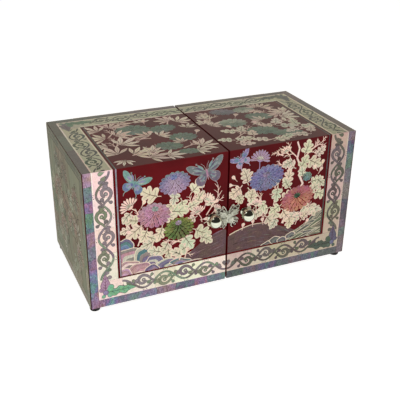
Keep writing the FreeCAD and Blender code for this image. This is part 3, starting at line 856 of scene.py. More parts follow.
VOLUTE = [-0.46, -0.34 - 0.2j, -0.2 - 0.62j, 0.02 - 0.86j, 0.22 - 0.62j, 0.25 - 0.16j, 0.12 + 0.14j,
          -0.04 + 0.06j, -0.1 - 0.2j]
VOLUTE_BALL = [2.8, 1.7 + 2.3j, -1.1 + 2.5j, -2.6 + 0.4j, -1.8 - 2.1j, 1.0 - 2.3j]
TENDRIL = [0.3 + 0.46j, 0.2 + 0.25j, 0.3 - 0.02j, 0.36 + 0.12j]


def crest(reach, half, tint, second):
    """What fills the bay under a crest of the stem: a volute that ends in a ball, and leaves round it."""
    pieces = vine(smooth_open(stretched(VOLUTE, reach, half), 4), 1.4, 2.3, 3.4, tint)
    eye = 0.015 * reach - 0.3j * half
    pieces += vine_leaf(smooth_closed(VOLUTE_BALL, 3) * reach / 29, tint, eye)
    pieces.append(Piece(disc(0.7, 7) + eye, MIST, 5))
    for length, radius, root, heading, tone in (
            (0.3, 0.095, -0.4 - 0.08j, 26, second), (0.24, 0.08, -0.3 - 0.45j, -122, second),
            (0.3, 0.1, 0.46 + 0.1j, -126, tint), (0.26, 0.08, 0.47 + 0.02j, -84, second)):
        pieces += vine_leaf(drop(length * reach, radius * reach), tone, stretched(root, reach, half), heading)
    tendril = smooth_open(stretched(TENDRIL, reach, half), 4)
    pieces.append(Piece(band(tendril, 0.7, 0.5), VINE_EDGE, 1))
    for berry, radius in ((-0.12 + 1.0j, 0.05), (-0.03 + 1.06j, 0.035), (0.05 + 1.02j, 0.045)):
        pieces.append(Piece(disc(radius * reach * 0.5, 7) + stretched(berry, reach, half), VINE_EDGE, 2))
    return pieces


def scroll_wave(dice, length, waves, height, tints):
    """A running scroll along the real axis: a wavy stem with a volute and leaves in each bay."""
    reach = length / waves
    half = height * 0.44
    across = np.linspace(0, length, waves * 12 + 1)
    stem = across - 1j * half * 0.74 * np.cos(np.pi * across / reach)
    pieces = []
    for k in range(waves * 2):
        pieces += vine(stem[k * 6:k * 6 + 7], 1.7, 1.7, 2.0, around(dice, dice.choice(tints), 8))
    for k in range(1, waves):
        tint, second = around(dice, tints[k % len(tints)], 8), around(dice, dice.choice(tints), 8)
        pieces += placed(crest(reach, half, tint, second), k * reach, flip=k % 2 == 0)
    for end, flip in ((0, False), (length, waves % 2 == 1)):
        ending = []
        for root, heading, size in (
                (0.02 - 0.3j, 76, 0.3), (0.16 - 0.42j, 40, 0.32), (0.36 - 0.15j, 62, 0.26)):
            tint = around(dice, dice.choice(tints), 8)
            leaf = drop(size * reach, size * reach * 0.32)
            ending += vine_leaf(leaf, tint, stretched(root, reach, half), heading)
        pieces += placed(mirrored(ending) if end else ending, end, flip=flip)
    return pieces


LONG_LEAF = [0, 4 - 3.4j, 9 - 2.4j, 12 - 4.6j, 17 - 3j, 20 - 3.4j, 27 + 0.4j, 21 + 2.2j, 17 + 4.8j, 12 + 3j,
             8 + 5j, 3 + 3j]
TALL_LEAF = [0, 3.2 - 3.4j, 8 - 4.4j, 13 - 2.2j, 18.5, 14 + 2.2j, 8 + 4.2j, 3 + 3.2j]


def corner_spray(dice, first, second):
    """The leaves that turn the scroll at a corner: a tall one up, a long lobed one along, small ones."""
    pieces = []
    for outline, heading, tint in ((LONG_LEAF, 180, second), (TALL_LEAF, 90, first)):
        leaf = smooth_closed(outline, 4) * turned(heading)
        pieces += rimmed(leaf, around(dice, tint, 10), VINE_EDGE, 2, ABALONE, 0.35)
        reach = np.abs(leaf).max()
        rib = band(np.linspace(0.08, 0.85, 4) * reach * turned(heading), 0.6, 0.3)
        pieces.append(Piece(rib, blend_of(tint, INK, 0.5), 4))
        for k in range(4):
            root = reach * (0.2 + 0.17 * k)
            for side in (1, -1):
                vein = band(np.linspace(root, root + 2.4 + 2.4j * side, 3) * turned(heading), 0.45, 0.25)
                pieces.append(Piece(vein, blend_of(tint, INK, 0.4), 4))
    for heading, reach, tint in ((135, 9.5, second), (-60, 6, second), (40, 7, first), (225, 7, second)):
        pieces += vine_leaf(drop(reach, reach * 0.3), around(dice, tint, 10), 0, heading)
    return pieces + rimmed(disc(2.6, 12), blend_of(first, BLUE, 0.4), VINE_EDGE, 5, ABALONE, 0.3)


def run_of_plates(dice, along, across, tints, lengths, upright, stuff):
    """Plates of shell laid end to end along a strip, with hairline joints, slightly out of square.

    Along and across are where the strip begins and ends; lengths are the longest and the shortest plate's.
    """
    (here, end), (low, high), (longest, shortest) = along, across, lengths
    pieces = []
    slant = 0.0
    while here < end - 0.01:
        after = here + dice.uniform(shortest, longest)
        if after > end - shortest * 0.6:
            after = end
        next_slant = 0.0 if after == end else dice.uniform(-1.2, 1.2)
        ends = np.array([here + slant + 1j * low, after + next_slant - joint_width + 1j * low,
                         after - next_slant - joint_width + 1j * high, here - slant + 1j * high])
        if upright:
            ends = ends.imag + 1j * ends.real
        pieces.append(Piece(ends, around(dice, dice.choice(tints), 10), 0, stuff))
        here, slant = after, next_slant
    return pieces


# Places across the border, from the outer strip to the panel
strip_x = end_x - strip_width
ground_x = strip_x - joint_width
border_x = strip_x - border_width
line_x = border_x - red_line
panel_x = line_x - pearl_line
strip_z = foot_z + edge_margin + strip_width
border_z = strip_z + border_width
panel_z = border_z + red_line
outer_y = back_y - edge_margin
strip_y = outer_y - strip_width
border_y = strip_y - border_width
panel_y = border_y - red_line
pearl_x = (panel_x + 0.5, line_x - 0.6)  # the line of chips inside the red one
turn_x = strip_x - border_width / 2

# The scroll's waves on each run, and the room left on its upright run, its level run and at the corner
scroll_waves = 5
upright_room = 3
level_room = 4
corner_gap = 2

# Lengths of the plates, longest and shortest
CHIPS = (16, 5)
TOP_CHIPS = (18, 6)
SHORT_PLATES = (24, 9)
PLATES = (34, 16)
LONG_PLATES = (60, 30)
TOP_PLATES = (70, 40)
SEAM_LENGTHS = (99, 60)

GROUND_TINTS = [(246, 232, 220), (248, 222, 218), (234, 230, 212), (242, 216, 214)]
STRIP_TINTS = [(108, 122, 152), (138, 116, 148), (108, 134, 136), (154, 128, 148), (112, 124, 138)]
EDGE_TINTS = [(148, 150, 166), (158, 146, 164), (140, 150, 158), (150, 140, 150)]
SCROLL_TINTS = [MAUVE_GREY, GREEN_GREY, (128, 112, 124), (124, 136, 112), (134, 124, 132), (122, 150, 122)]
PALE_TINTS = [(252, 236, 232), (248, 226, 226)]
TOP_PALE_TINTS = [(250, 238, 218), (244, 232, 208)]


def all_blended(tints, towards, share):
    """Every tint blended towards one colour."""
    return [blend_of(tint, towards, share) for tint in tints]


def front_border(dice, shade=0.0):
    """The strip, seam, ground, lines and scroll of a front, as on the right cover, and the corner's place."""
    # A shade above 0 darkens every tint as painted shade; the right cover's front is drawn with it
    strip = all_blended(STRIP_TINTS, (88, 94, 92), shade)
    ground = all_blended(GROUND_TINTS, (130, 116, 96), shade * 0.8)
    scroll = all_blended(SCROLL_TINTS, (76, 66, 62), shade)
    edge = all_blended(EDGE_TINTS, (40, 46, 42), shade * 1.4)
    pale = all_blended(PALE_TINTS, (170, 160, 140), shade)
    seam_margin, pale_line = 0.1, 1.1
    ground_z = (strip_z + joint_width, border_z - joint_width)
    motifs = [run_of_plates(dice, *run) for run in (
        ((foot_z + edge_margin, top_z), (strip_x, end_x - seam_width), strip, SHORT_PLATES, True, MOTTLED),
        ((gap_x, ground_x), (foot_z + edge_margin, strip_z), strip, SHORT_PLATES, False, MOTTLED),
        ((foot_z, top_z), (end_x - seam_width, end_x - seam_margin), [INK], SEAM_LENGTHS, True, LACQUER_LINE),
        ((border_z, top_z), (border_x, ground_x), ground, PLATES, True, PALE_SHELL),
        ((gap_x, ground_x), ground_z, ground, PLATES, False, PALE_SHELL),
        ((strip_z, top_z), (strip_x - pale_line, ground_x), pale, PLATES, True, PALE_SHELL),
        ((gap_x, strip_x), (strip_z + joint_width, strip_z + pale_line), pale, PLATES, False, PALE_SHELL),
        ((panel_z, top_z), pearl_x, edge, CHIPS, True, ABALONE),
    )]
    turn_z = strip_z + border_width / 2
    upright = scroll_wave(dice, top_z - border_z - upright_room, scroll_waves, border_width, scroll)
    motifs.append(placed(upright, turn_x + 1j * (border_z + corner_gap), 90))
    along = scroll_wave(dice, border_x - gap_x - level_room, scroll_waves, border_width, scroll)
    motifs.append(placed(along, gap_x + 1j * turn_z))
    return motifs, turn_x + 1j * turn_z


def pale_edged(pieces):
    """A motif of the scroll with pale cut edges in place of its dark ones."""
    return [p._replace(tint=PALE_VINE_EDGE) if p.tint == VINE_EDGE else p for p in pieces]


def top_border(dice):
    """The strip, ground, lines and scroll of a top, as on the right cover, and the corner's place."""
    front = front_y + inlay_depth
    # The top's tints are blended darker and greener than the front's, partly as painted shade for the top's
    # weaker light
    strip = all_blended(STRIP_TINTS, (126, 122, 108), 0.8)
    ground = all_blended(GROUND_TINTS, (192, 192, 162), 0.85)
    scroll = all_blended(SCROLL_TINTS, (84, 96, 78), 0.7)
    edge = all_blended(EDGE_TINTS, (84, 84, 74), 0.8)
    inner_line, outer_line = 1.5, 1.7
    ground_y = (border_y + joint_width, strip_y - joint_width)
    motifs = [run_of_plates(dice, *run) for run in (
        ((front, outer_y), (strip_x, end_x - 0.3), strip, LONG_PLATES, True, ABALONE),
        ((gap_x, ground_x), (strip_y, outer_y), strip, LONG_PLATES, False, ABALONE),
        ((front, border_y), (border_x, ground_x), ground, TOP_PLATES, True, PALE_SHELL),
        ((gap_x, ground_x), ground_y, ground, TOP_PLATES, False, PALE_SHELL),
        ((front, panel_y), pearl_x, edge, TOP_CHIPS, True, ABALONE),
    )]
    motifs += [run_of_plates(dice, along, across, TOP_PALE_TINTS, TOP_PLATES, upright, PALE_SHELL)
               for along, across, upright in (
                   ((front, border_y), (border_x, border_x + inner_line), True),
                   ((front, strip_y), (strip_x - outer_line, ground_x), True),
                   ((gap_x, border_x), (border_y, border_y + inner_line), False),
                   ((gap_x, strip_x), (strip_y - outer_line, strip_y - joint_width), False))]
    turn_y = border_y + border_width / 2
    upright = scroll_wave(dice, border_y - front - upright_room, scroll_waves, border_width, scroll)
    motifs.append(pale_edged(placed(upright, turn_x + 1j * front, 90)))
    along = scroll_wave(dice, border_x - gap_x - level_room, scroll_waves, border_width, scroll)
    motifs.append(pale_edged(placed(along, gap_x + 1j * turn_y)))
    return motifs, turn_x + 1j * turn_y


def lay_borders():
    """The borders of both covers; the right cover's front one lies further from the light, so its tints are
    darkened as painted shade.
    """
    corner_tints = {"left": ((166, 124, 164), (104, 186, 146)), "right": ((112, 104, 132), (92, 110, 98))}
    for side in SIDES:
        for face, draw, place in (("front", front_border, on_front), ("top", top_border, on_top)):
            dice = random.Random(f"{face} {side} border")
            sheet = Sheet(f"border_{face}_{side}", f"cover_{side}", place)
            motifs, corner = draw(dice, 0.5) if (side, face) == ("right", "front") else draw(dice)
            spray = corner_spray(dice, *corner_tints[side])
            if face == "top":
                # On a top the spray is drawn towards grey-green, partly as painted shade, as the top's border
                # is
                spray = [p._replace(tint=blend_of(p.tint, GREEN_GREY, 0.6)) for p in pale_edged(spray)]
            outward = 3 + 3j if face == "top" else 3 - 3j
            motifs.append(placed(spray, corner + outward, flip=face == "top", size=1.18))
            for motif in motifs:
                sheet.lay(mirrored(motif) if side == "left" else motif)
            sheet.build()


# The panels
def keep_in(pieces, side, low, high):
    """Plates and lines cut off at the edges of a cover's panel."""
    left, right = sorted((SIDES[side] * (gap_x + edge_margin), SIDES[side] * panel_x))
    kept = []
    for piece in pieces:
        outline = piece.outline
        if outline.ndim == 1:
            outline = clipped(outline, left, low, right, high)
        else:
            seen = (outline.real > left) & (outline.real < right)
            seen &= (outline.imag > low) & (outline.imag < high)
            seen = np.flatnonzero(seen.all(axis=0))
            outline = outline[:, seen[0]:seen[-1] + 1] if len(seen) > 1 else None
        if outline is not None:
            kept.append(piece._replace(outline=outline))
    return kept


def scattered(dice, make, places):
    """A motif at each (x, y, turn, ...) place; what follows the turn is handed to its maker."""
    for x, y, turn, *sizes in places:
        yield placed(make(dice, *sizes), x + 1j * y, turn)


panel_floor = panel_z + 0.2
FULL_RINGS = ((17, 0.52, 1.0), (14, 0.34, 0.8), (11, 0.18, 0.6), (8, 0.04, 0.42))
LARGE_RINGS = ((20, 0.6, 1.0), (16, 0.42, 0.82), (13, 0.2, 0.62), (9, 0.04, 0.4))
OPEN_RINGS = ((20, 0.6, 1.0), (16, 0.42, 0.8), (13, 0.16, 0.62))
SMALL_RINGS = ((9, 0.3, 1.0), (6, 0.1, 0.6))


def left_front_panel(dice):
    """Chrysanthemums and butterflies over rocks, on the left cover's front."""
    floor = 1j * panel_floor
    hill = smooth_closed(np.array([-54, -36 + 15j, -22 + 24j, -1.4 + 29j, -1.4]) + floor)
    hill_tints = [PLUM, (114, 82, 86), (88, 66, 74), (118, 90, 98)]
    hill = clipped(hill, -60, panel_floor, -gap_x - edge_margin, 100)
    yield bank(dice, hill, hill_tints, 90, lambda x: 0.3)
    ground = smooth_closed([-114.6 + floor, -114.6 + 72j, -108 + 68j, -100 + 62j, -86 + 56j, -76 + 44j,
                            -58 + 42j, -40 + 38j, -30 + floor])
    yield [Piece(clipped(ground, -114.8, panel_floor, -30, 90), (150, 136, 150), 0, ABALONE)]
    sage, rose, lavender, aqua = (140, 134, 132), (182, 136, 150), (126, 108, 154), (80, 130, 136)
    dusk, plum = (106, 100, 142), (136, 100, 122)
    yield from scattered(dice, rock, (
        (-112, 70, 10, 18, 20, (dusk, aqua, (80, 120, 160))), (-106, 58, -14, 30, 20, (sage, rose, MIST)),
        (-92, 56, 6, 20, 26, (MIST, aqua, sage, lavender)), (-108, 46, 8, 24, 16, (rose, PALE_PINK, sage)),
        (-80, 46, -30, 20, 16, (lavender, dusk, MIST)), (-97, 42, 6, 24, 14, (rose, (190, 140, 158))),
        (-68, 41, 10, 28, 12, (MIST, lavender, dusk)), (-112, 37, 0, 16, 16, ((186, 140, 176), rose)),
        (-84, 36, 24, 18, 15, (dusk, lavender, plum)), (-52, 39, -6, 24, 11, (aqua, sage, lavender)),
        (-99, 33, 4, 20, 11, (PALE_PINK, rose, plum)), (-66, 33, 4, 30, 9, (lavender, dusk, sage)),
        (-38, 35, -4, 26, 8, (sage, plum, lavender))))
    yield from scattered(dice, twig, (
        (-24, 88, 54, 30), (-62, 62, 20, 22), (-50, 62, 150, 20), (-88, 92, 130, 22), (-44, 96, 75, 26),
        (-98, 68, 70, 20), (-58, 46, 12, 22), (-60, 44, 40, 22), (-54, 42, 66, 20), (-48, 42, 84, 18)))

    def leaf(dice, length):
        """A leaf of this panel."""
        return lobed_leaf(dice, 0.93 * length, length * dice.uniform(0.74, 0.88))

    yield from scattered(dice, leaf, (
        (-76, 119, 150, 21), (-40, 117, 40, 20), (-51, 110, -70, 17), (-96, 96, 165, 19), (-94, 90, 215, 20),
        (-62, 100, -10, 20), (-90, 78, -30, 18), (-72, 84, 250, 17), (-36, 74, -25, 21), (-48, 68, -60, 19),
        (-66, 66, 235, 18), (-82, 70, 200, 15), (-24, 80, 5, 16), (-30, 64, -35, 17), (-66, 58, -80, 13),
        (-34, 104, 60, 15), (-10, 92, 250, 13), (-18, 98, 100, 13), (-58, 110, 215, 14), (-70, 92, 20, 15),
        (-36, 88, 200, 14), (-104, 106, 230, 14), (-58, 120, -100, 15), (-46, 56, 200, 19),
        (-52, 48, 150, 15), (-74, 56, 160, 16), (-104, 88, 190, 13), (-44, 100, 20, 14), (-88, 84, 240, 15)))
    yield from scattered(dice, fan_flower, (
        (-104, 112, 38, 11), (-24, 104, -28, 9.5), (-33, 92, 20, 9), (-14, 92, -60, 7)))
    yield from scattered(dice, bud, (
        (-92, 112, 60), (-16, 100, 30), (-28, 84, 0), (-104, 84, 150), (-12, 78, 40)))
    violets = ((96, 130, 128), (98, 100, 142), (124, 108, 156), (164, 140, 172))
    pinks = ((166, 136, 152), (168, 112, 140), (176, 106, 138))
    greens = ((150, 140, 50), (146, 150, 48), (118, 130, 44), (92, 112, 48))
    yield placed(bloom(dice, 34, 25, violets, FULL_RINGS, BLUE, 0.14), -58 + 130j, 8)
    yield placed(bloom(dice, 36, 28, pinks, FULL_RINGS, (120, 156, 140), 0.14), -80 + 99j, -8)
    yield placed(bloom(dice, 34, 26, greens, FULL_RINGS, LILAC, 0.14, (34, 52, 36), 0.85), -54 + 79j, 5)
    teals = ((100, 152, 146), (88, 106, 158), (146, 156, 150), VIOLET)
    yield placed(butterfly(dice, 31, teals, (136, 166, 164), TEAL), -99 + 137j, -24)
    greys = ((108, 118, 124), (112, 100, 122), (92, 84, 118), (120, 150, 150))
    yield placed(butterfly(dice, 40, greys, (170, 158, 160), (170, 112, 140)), -24 + 136j, 12)


def right_front_panel(dice):
    """Chrysanthemums and a branch over a bank and waves, on the right cover's front."""
    floor = 1j * panel_floor
    hill = smooth_closed(np.array([1.4, 1.4 + 20j, 20 + 27j, 42 + 27j, 64 + 20j, 84 + 10j, 92]) + floor)
    hill_tints = [PLUM, (112, 82, 80), (88, 68, 72), (104, 98, 94)]
    hill = clipped(hill, gap_x + edge_margin, panel_floor, 90, 100)
    yield bank(dice, hill, hill_tints, 100, lambda x: 0.35 - x / 90)
    ridge = smooth_open(np.array([1.4 + 21j, 12 + 25j, 28 + 28.5j, 44 + 28j]) + floor)
    yield [Piece(band(ridge, 1.2, 0.8), CREAM, 2)]
    sea = smooth_closed([46 - 2j + floor, 50 + 37j, 58 + 41j, 70 + 43j, 84 + 49j, 98 + 56j, 112 + 64j,
                         124 + 70j, 130 - 2j + floor])
    yield [Piece(clipped(sea, 30, panel_floor, panel_x, 90), (104, 110, 98), 0, ABALONE)]
    water = ((112, 124, 100), (96, 104, 96), (120, 124, 106), (102, 104, 106), (110, 112, 96))
    rows = ((80 + 47j, 104 + 57j, 4), (64 + 38j, 102 + 48j, 5), (54 + 31j, 108 + 40j, 6))
    for row, (first, last, count) in enumerate(rows):
        for at in np.linspace(first, last, count):
            tongue = surge(dice, dice.uniform(24, 30), dice.uniform(11, 15) - 2 * row, dice.choice(water))
            yield placed(tongue, at, dice.uniform(-4, 8))

    def foam_rock(dice, width):
        """A rock washed by the waves."""
        return rock(dice, width, width * 0.62, ((96, 96, 104), (122, 124, 120), (80, 84, 92)), 3)

    yield from scattered(dice, foam_rock, (
        (48, 37, 16, 15), (58, 41, 16, 14), (67, 39, 16, 13), (77, 43, 16, 12)))
    trunk = [66 + 60j, 74 + 76j, 84 + 96j, 88 + 104j, 83 + 114j, 84 + 124j, 79 + 134j, 81 + 145j, 78 + 153j]
    yield [Piece(band(trunk, 3.0, 1.8), BRANCH, 2)]
    yield from scattered(dice, twig, (
        (80, 134, 140, 26), (70, 128, 170, 20), (84, 132, 28, 24), (44, 84, 120, 22), (54, 84, 75, 22),
        (88, 66, 60, 20), (96, 142, 20, 18), (28, 70, 30, 20), (62, 140, 150, 12)))

    def leaf(dice, length):
        """A leaf of this panel."""
        return lobed_leaf(dice, 0.93 * length, length * dice.uniform(0.75, 0.88), dice.choice((2, 2, 3)))

    yield from scattered(dice, leaf, (
        (22, 116, 110, 19), (14, 112, 210, 18), (24, 108, -65, 19), (30, 104, -110, 14), (76, 124, 150, 17),
        (84, 122, 60, 17), (88, 138, 75, 17), (94, 130, -30, 19), (102, 134, 40, 15), (98, 104, 10, 17),
        (104, 90, -20, 18), (98, 76, -60, 18), (68, 108, 80, 17), (58, 104, -95, 18), (48, 82, 190, 17),
        (58, 76, -110, 20), (66, 76, -50, 19), (80, 72, -100, 15), (74, 132, 200, 14), (36, 76, 160, 13),
        (64, 90, 30, 16), (72, 102, 120, 15), (98, 92, 30, 16), (106, 106, -40, 15), (52, 108, 60, 14),
        (88, 112, 100, 13), (74, 66, -20, 15), (92, 80, -80, 16), (102, 72, -20, 14), (38, 92, -70, 15),
        (20, 78, 60, 13), (92, 68, 10, 15), (46, 72, -40, 18), (38, 80, 200, 15), (58, 68, -120, 15),
        (30, 84, 230, 13), (74, 66, -90, 15), (26, 96, 80, 13), (10, 104, -60, 13), (62, 82, -150, 16),
        (90, 60, 40, 14)))
    yield from scattered(dice, fan_flower, (
        (66, 143, 30, 7.5, BLUSH, 7), (33, 88, -10, 8, BLUSH, 7), (84, 64, -10, 7, BLUSH, 7)))
    yield from scattered(dice, bud, (
        (108, 114, 60), (111, 122, 85), (104, 118, 120), (8, 122, 130), (6, 116, 170), (28, 92, 200),
        (30, 66, 90), (18, 64, 80), (42, 66, 100), (96, 54, 60)))
    blues = ((110, 112, 156), (92, 92, 156), (84, 84, 150), (100, 104, 150))
    corals = ((158, 84, 108), (168, 76, 96), (178, 90, 84), (186, 104, 74))
    yield placed(bloom(dice, 12, 11, (SEA_GREEN, (70, 100, 84), TEAL), SMALL_RINGS), 93 + 111j)
    yield placed(bloom(dice, 41, 29, blues, LARGE_RINGS, (128, 108, 140), 0.08, (190, 184, 206), 0.55),
                 44 + 118j, 10)
    yield placed(bloom(dice, 41, 30, corals, OPEN_RINGS, (36, 80, 54), 0.1, (204, 130, 120)), 83 + 87j, 12)
    yield placed(fan_flower(dice, 12, LILAC, 11, 200), 35 + 139j, -12)
    yield placed(butterfly(dice, 24, (VIOLET, LILAC, BLUE, TEAL), (196, 186, 206), VIOLET), 14 + 143j, 28)


def stout_twig(dice, length):
    """A twig of the tops."""
    return twig(dice, length, 1.6)


def flat_bloom(dice, width, height, hues):
    """A flower of the tops, seen flat and with little contrast."""
    return bloom(dice, width, height, hues, rise=0.05, edge_share=0.2)


def left_top_panel(dice):
    """Leaf sprays round sea-green flowers, on the left cover's top."""
    yield from scattered(dice, stout_twig, (
        (-104, -30, 70, 34), (-100, 10, 60, 30), (-92, -44, 10, 34), (-60, -8, 160, 24), (-38, -44, 20, 26),
        (-30, 24, 60, 24)))
    for x, y, width, height in ((-70, 22, 40, 30), (-40, 14, 34, 22), (-28, -16, 32, 24), (-50, -34, 30, 22),
                                (-36, -54, 24, 14)):
        flower = flat_bloom(dice, width, height, ((112, 138, 116), (98, 128, 108), (114, 134, 120)))
        yield placed(flower, x + 1j * y, dice.uniform(-20, 20))

    def leaf(dice, length):
        """A leaf spray of this panel."""
        return finger_leaf(dice, length, 33, blend_of(TOP_CREAM, BLUSH, 0.7 * dice.random()), 0.24)

    yield from scattered(dice, leaf, (
        (-106, 30, 120, 24), (-92, 36, 60, 26), (-104, 8, 150, 24), (-92, 12, 20, 24), (-108, -14, 170, 20),
        (-94, -14, 40, 26), (-104, -36, 110, 26), (-90, -42, 20, 26), (-102, -52, 250, 16), (-78, -54, 5, 24),
        (-72, -44, 70, 20), (-60, -56, -10, 20), (-60, -2, 130, 18), (-50, -4, 20, 18), (-24, 34, 130, 22),
        (-18, 28, 30, 22), (-14, 8, 60, 16), (-20, -46, 30, 24), (-28, -54, -10, 18), (-34, -30, 100, 14),
        (-80, 44, 30, 20), (-54, 40, 90, 16)))
    yield from scattered(dice, bud, (
        (-58, 4, 60, 9), (-44, -8, 100, 9), (-84, 6, 80, 9), (-52, 38, 80, 9), (-10, -10, 60, 9)))


def right_top_panel(dice):
    """Leaf sprays round sea-green and grey flowers, on the right cover's top."""
    yield from scattered(dice, stout_twig, (
        (20, -42, 30, 36), (50, -58, 10, 36), (80, -18, 20, 30), (90, -44, 20, 24), (70, 4, 60, 30),
        (14, 10, 70, 28)))
    sage, deep_sage, grey_mauve = (120, 144, 120), (98, 126, 108), (136, 126, 138)
    for x, y, width, height, hues in (
            (38, 2, 34, 26, (MIST, sage)), (42, 38, 32, 20, (grey_mauve, SLATE)),
            (68, 36, 28, 20, (sage, MIST)), (75, 11, 34, 22, (deep_sage, sage)),
            (58, -30, 38, 24, (sage, deep_sage)), (80, -46, 36, 20, (sage, deep_sage))):
        yield placed(flat_bloom(dice, width, height, hues), x + 1j * y, dice.uniform(-20, 20))
    lobed_below = -15
    for x, y, turn, length in (
            (30, -24, 150, 20), (34, -26, 60, 20), (16, -44, 160, 18), (20, -48, 20, 22), (18, -54, -20, 20),
            (42, -40, 70, 18), (40, -44, 200, 18), (52, -56, 160, 20), (58, -60, 10, 22), (70, -58, 30, 18),
            (104, 6, 60, 28), (108, 12, 120, 24), (100, 10, 190, 20), (98, 2, -30, 26), (80, -18, 60, 22),
            (82, -24, -20, 24), (76, -20, 160, 18), (100, -30, 80, 22), (102, -36, 0, 22), (96, -38, 200, 20),
            (104, -52, 60, 20), (98, -58, 160, 20), (72, -2, 110, 18), (68, -6, 200, 16), (86, 38, 90, 20),
            (90, 36, 20, 22), (82, 30, 230, 16), (8, 10, 100, 18), (12, 2, 30, 18), (14, 24, 80, 18),
            (22, 34, 150, 16), (18, 16, 200, 14)):
        tint = blend_of(TOP_CREAM, BLUSH, 0.7 * dice.random())
        if y < lobed_below:
            leaf = lobed_leaf(dice, length * 0.85, length * 0.62, 2, tint)
        else:
            leaf = finger_leaf(dice, length * 0.9, 33, tint, 0.26)
        yield placed(leaf, x + 1j * y, turn)
    yield from scattered(dice, bud, ((50, 20, 60, 9), (30, -12, 100, 9), (60, -10, 80, 9), (96, 24, 80, 9)))


# The end panels
def engraved(pieces, towards, share, edge_lifts):
    """A motif in pale shell alone, its tints drawn together and its cut edges and ribs dark."""
    lined = []
    for piece in pieces:
        tint = blend_of(piece.tint, towards, share)
        if piece.lift in edge_lifts:
            tint = blend_of(tint, END_RIM, 0.62)
        lined.append(piece._replace(tint=tint, stuff=PALE_SHELL))
    return lined


def foot_lit_top_browned(pieces):
    """The ends' shell: paler towards the foot, as painted light, and darker and browner towards the top."""
    pale, brown = (206, 206, 188), (102, 106, 84)
    pale_below, brown_above = 66, 100
    toned = []
    for piece in pieces:
        up = piece.outline.imag.mean()
        # Painted light: the shell is paled towards the foot
        tint = blend_of(piece.tint, pale, 0.4 * np.clip((pale_below - up) / 40, 0, 1))
        tint = blend_of(tint, brown, 0.6 * np.clip((up - brown_above) / 50, 0, 1))
        toned.append(piece._replace(tint=tint))
    return toned


def on_side(sign):
    """Places points on an end panel; across runs to the back on the right and to the front on the left."""
    def place(across, up, height):
        """A point that high above the end's sunk ground."""
        return np.stack([sign * (side_x - inlay_depth + height), sign * across, up], axis=1)
    return place


def side_panel(dice):
    """Muted flowers and leaf sprays inside a lined frame, all of grey-green shell, on an end panel."""
    # The shell keeps clear of the end's edges
    low, high, front, back = foot_z + 0.3, top_z - 1.2, front_y + 1.6, back_y - 0.6
    tints = [(178, 178, 154), (160, 170, 144), (186, 176, 154)]
    line_inset, frame_width = 4.0, 9.0
    inner = (front + frame_width + joint_width, back - frame_width - joint_width)
    for along, across, lengths, upright in (
            ((low, high), (front, front + frame_width), (30, 14), True),
            ((low, high), (back - frame_width, back), (30, 14), True),
            (inner, (low, low + frame_width), PLATES, False),
            (inner, (high - frame_width, high), PLATES, False)):
        yield run_of_plates(dice, along, across, tints, lengths, upright, PALE_SHELL)
    for inset_by in (line_inset, frame_width):
        corners = block(front + inset_by, low + inset_by, back - inset_by, high - inset_by)
        for here, after in zip(corners, np.roll(corners, -1)):
            yield [Piece(band(np.linspace(here, after, 3), 0.6), END_LINE, 1)]
    browns = [(176, 140, 122), (186, 152, 132)]
    greens = [(172, 182, 154), (210, 212, 184), (140, 158, 128), (238, 232, 206)]
    twig_brown = (84, 66, 52)
    for x, y, turn, length in ((-40, 30, 70, 60), (0, 24, 60, 54), (30, 60, 80, 50), (-30, 90, 40, 40)):
        yield placed(twig(dice, length, 1.8, twig_brown), x + 1j * y, turn)
    sprays = 34
    for _ in range(sprays):
        x, y = dice.uniform(-50, 60), dice.uniform(26, 132)
        spray = finger_leaf(dice, dice.uniform(16, 26), 30, dice.choice(greens + browns), 0.32)
        yield placed(engraved(spray, greens[0], 0.25, (3, 5)), x + 1j * y, dice.uniform(0, 360))
    field = blend_of(browns[0], greens[1], 0.4)
    hues = (browns[0], greens[1], browns[1], greens[0])
    for x, y, width in (
            (-36, 112, 34), (8, 124, 30), (38, 96, 34), (-14, 78, 38), (26, 56, 32), (-40, 50, 30)):
        flower = placed(bloom(dice, width, width * 0.85, hues, edge_share=0.1), x + 1j * y)
        yield engraved(flower, field, 0.25, (1, 4, 7))


def lay_panels():
    """The inlaid pictures on the ends, fronts and tops."""
    for side, sign in SIDES.items():
        sheet = Sheet(f"panel_side_{side}", "carcass", on_side(sign), stuff=[end_shell] * 4)
        for motif in side_panel(random.Random("side " + side)):
            # The ends' shell is painted paler towards its foot as painted light, and darker and browner
            # towards the top
            sheet.lay(foot_lit_top_browned(motif if sign > 0 else mirrored(motif)))
        sheet.build()
    front = (panel_z, top_z - 0.8)
    top = (front_y + inlay_depth + 0.6, panel_y)
    for name, side, draw, place, (low, high) in (
            ("panel_front_left", "left", left_front_panel, on_front, front),
            ("panel_front_right", "right", right_front_panel, on_front, front),
            ("panel_top_left", "left", left_top_panel, on_top, top),
            ("panel_top_right", "right", right_top_panel, on_top, top)):
        sheet = Sheet(name, f"cover_{side}", place)
        for motif in draw(random.Random(name)):
            sheet.lay(keep_in(motif, side, low, high))
        sheet.build()


# Meshes of the other pieces
def new_piece(name, body, slot, mesh, smooth=True):
    """An object of that mesh, with the slot's finish, riding on its body."""
    if smooth:
        mesh.polygons.foreach_set("use_smooth", [True] * len(mesh.polygons))
    mesh.materials.clear()
    mesh.materials.append(materials[slot])
    mesh.update()
    piece = new_object(name, mesh)
    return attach(piece, body)


def ring_mesh(name, rings):
    """A closed skin over rings of points, capped at both ends."""
    count = len(rings[0])
    last = (len(rings) - 1) * count
    faces = [[start + c, start + (c + 1) % count, start + count + (c + 1) % count, start + count + c]
             for start in range(0, last, count) for c in range(count)]
    faces.append(list(range(count))[::-1])
    faces.append([last + c for c in range(count)])
    return new_mesh(name, [p for ring in rings for p in ring], faces)


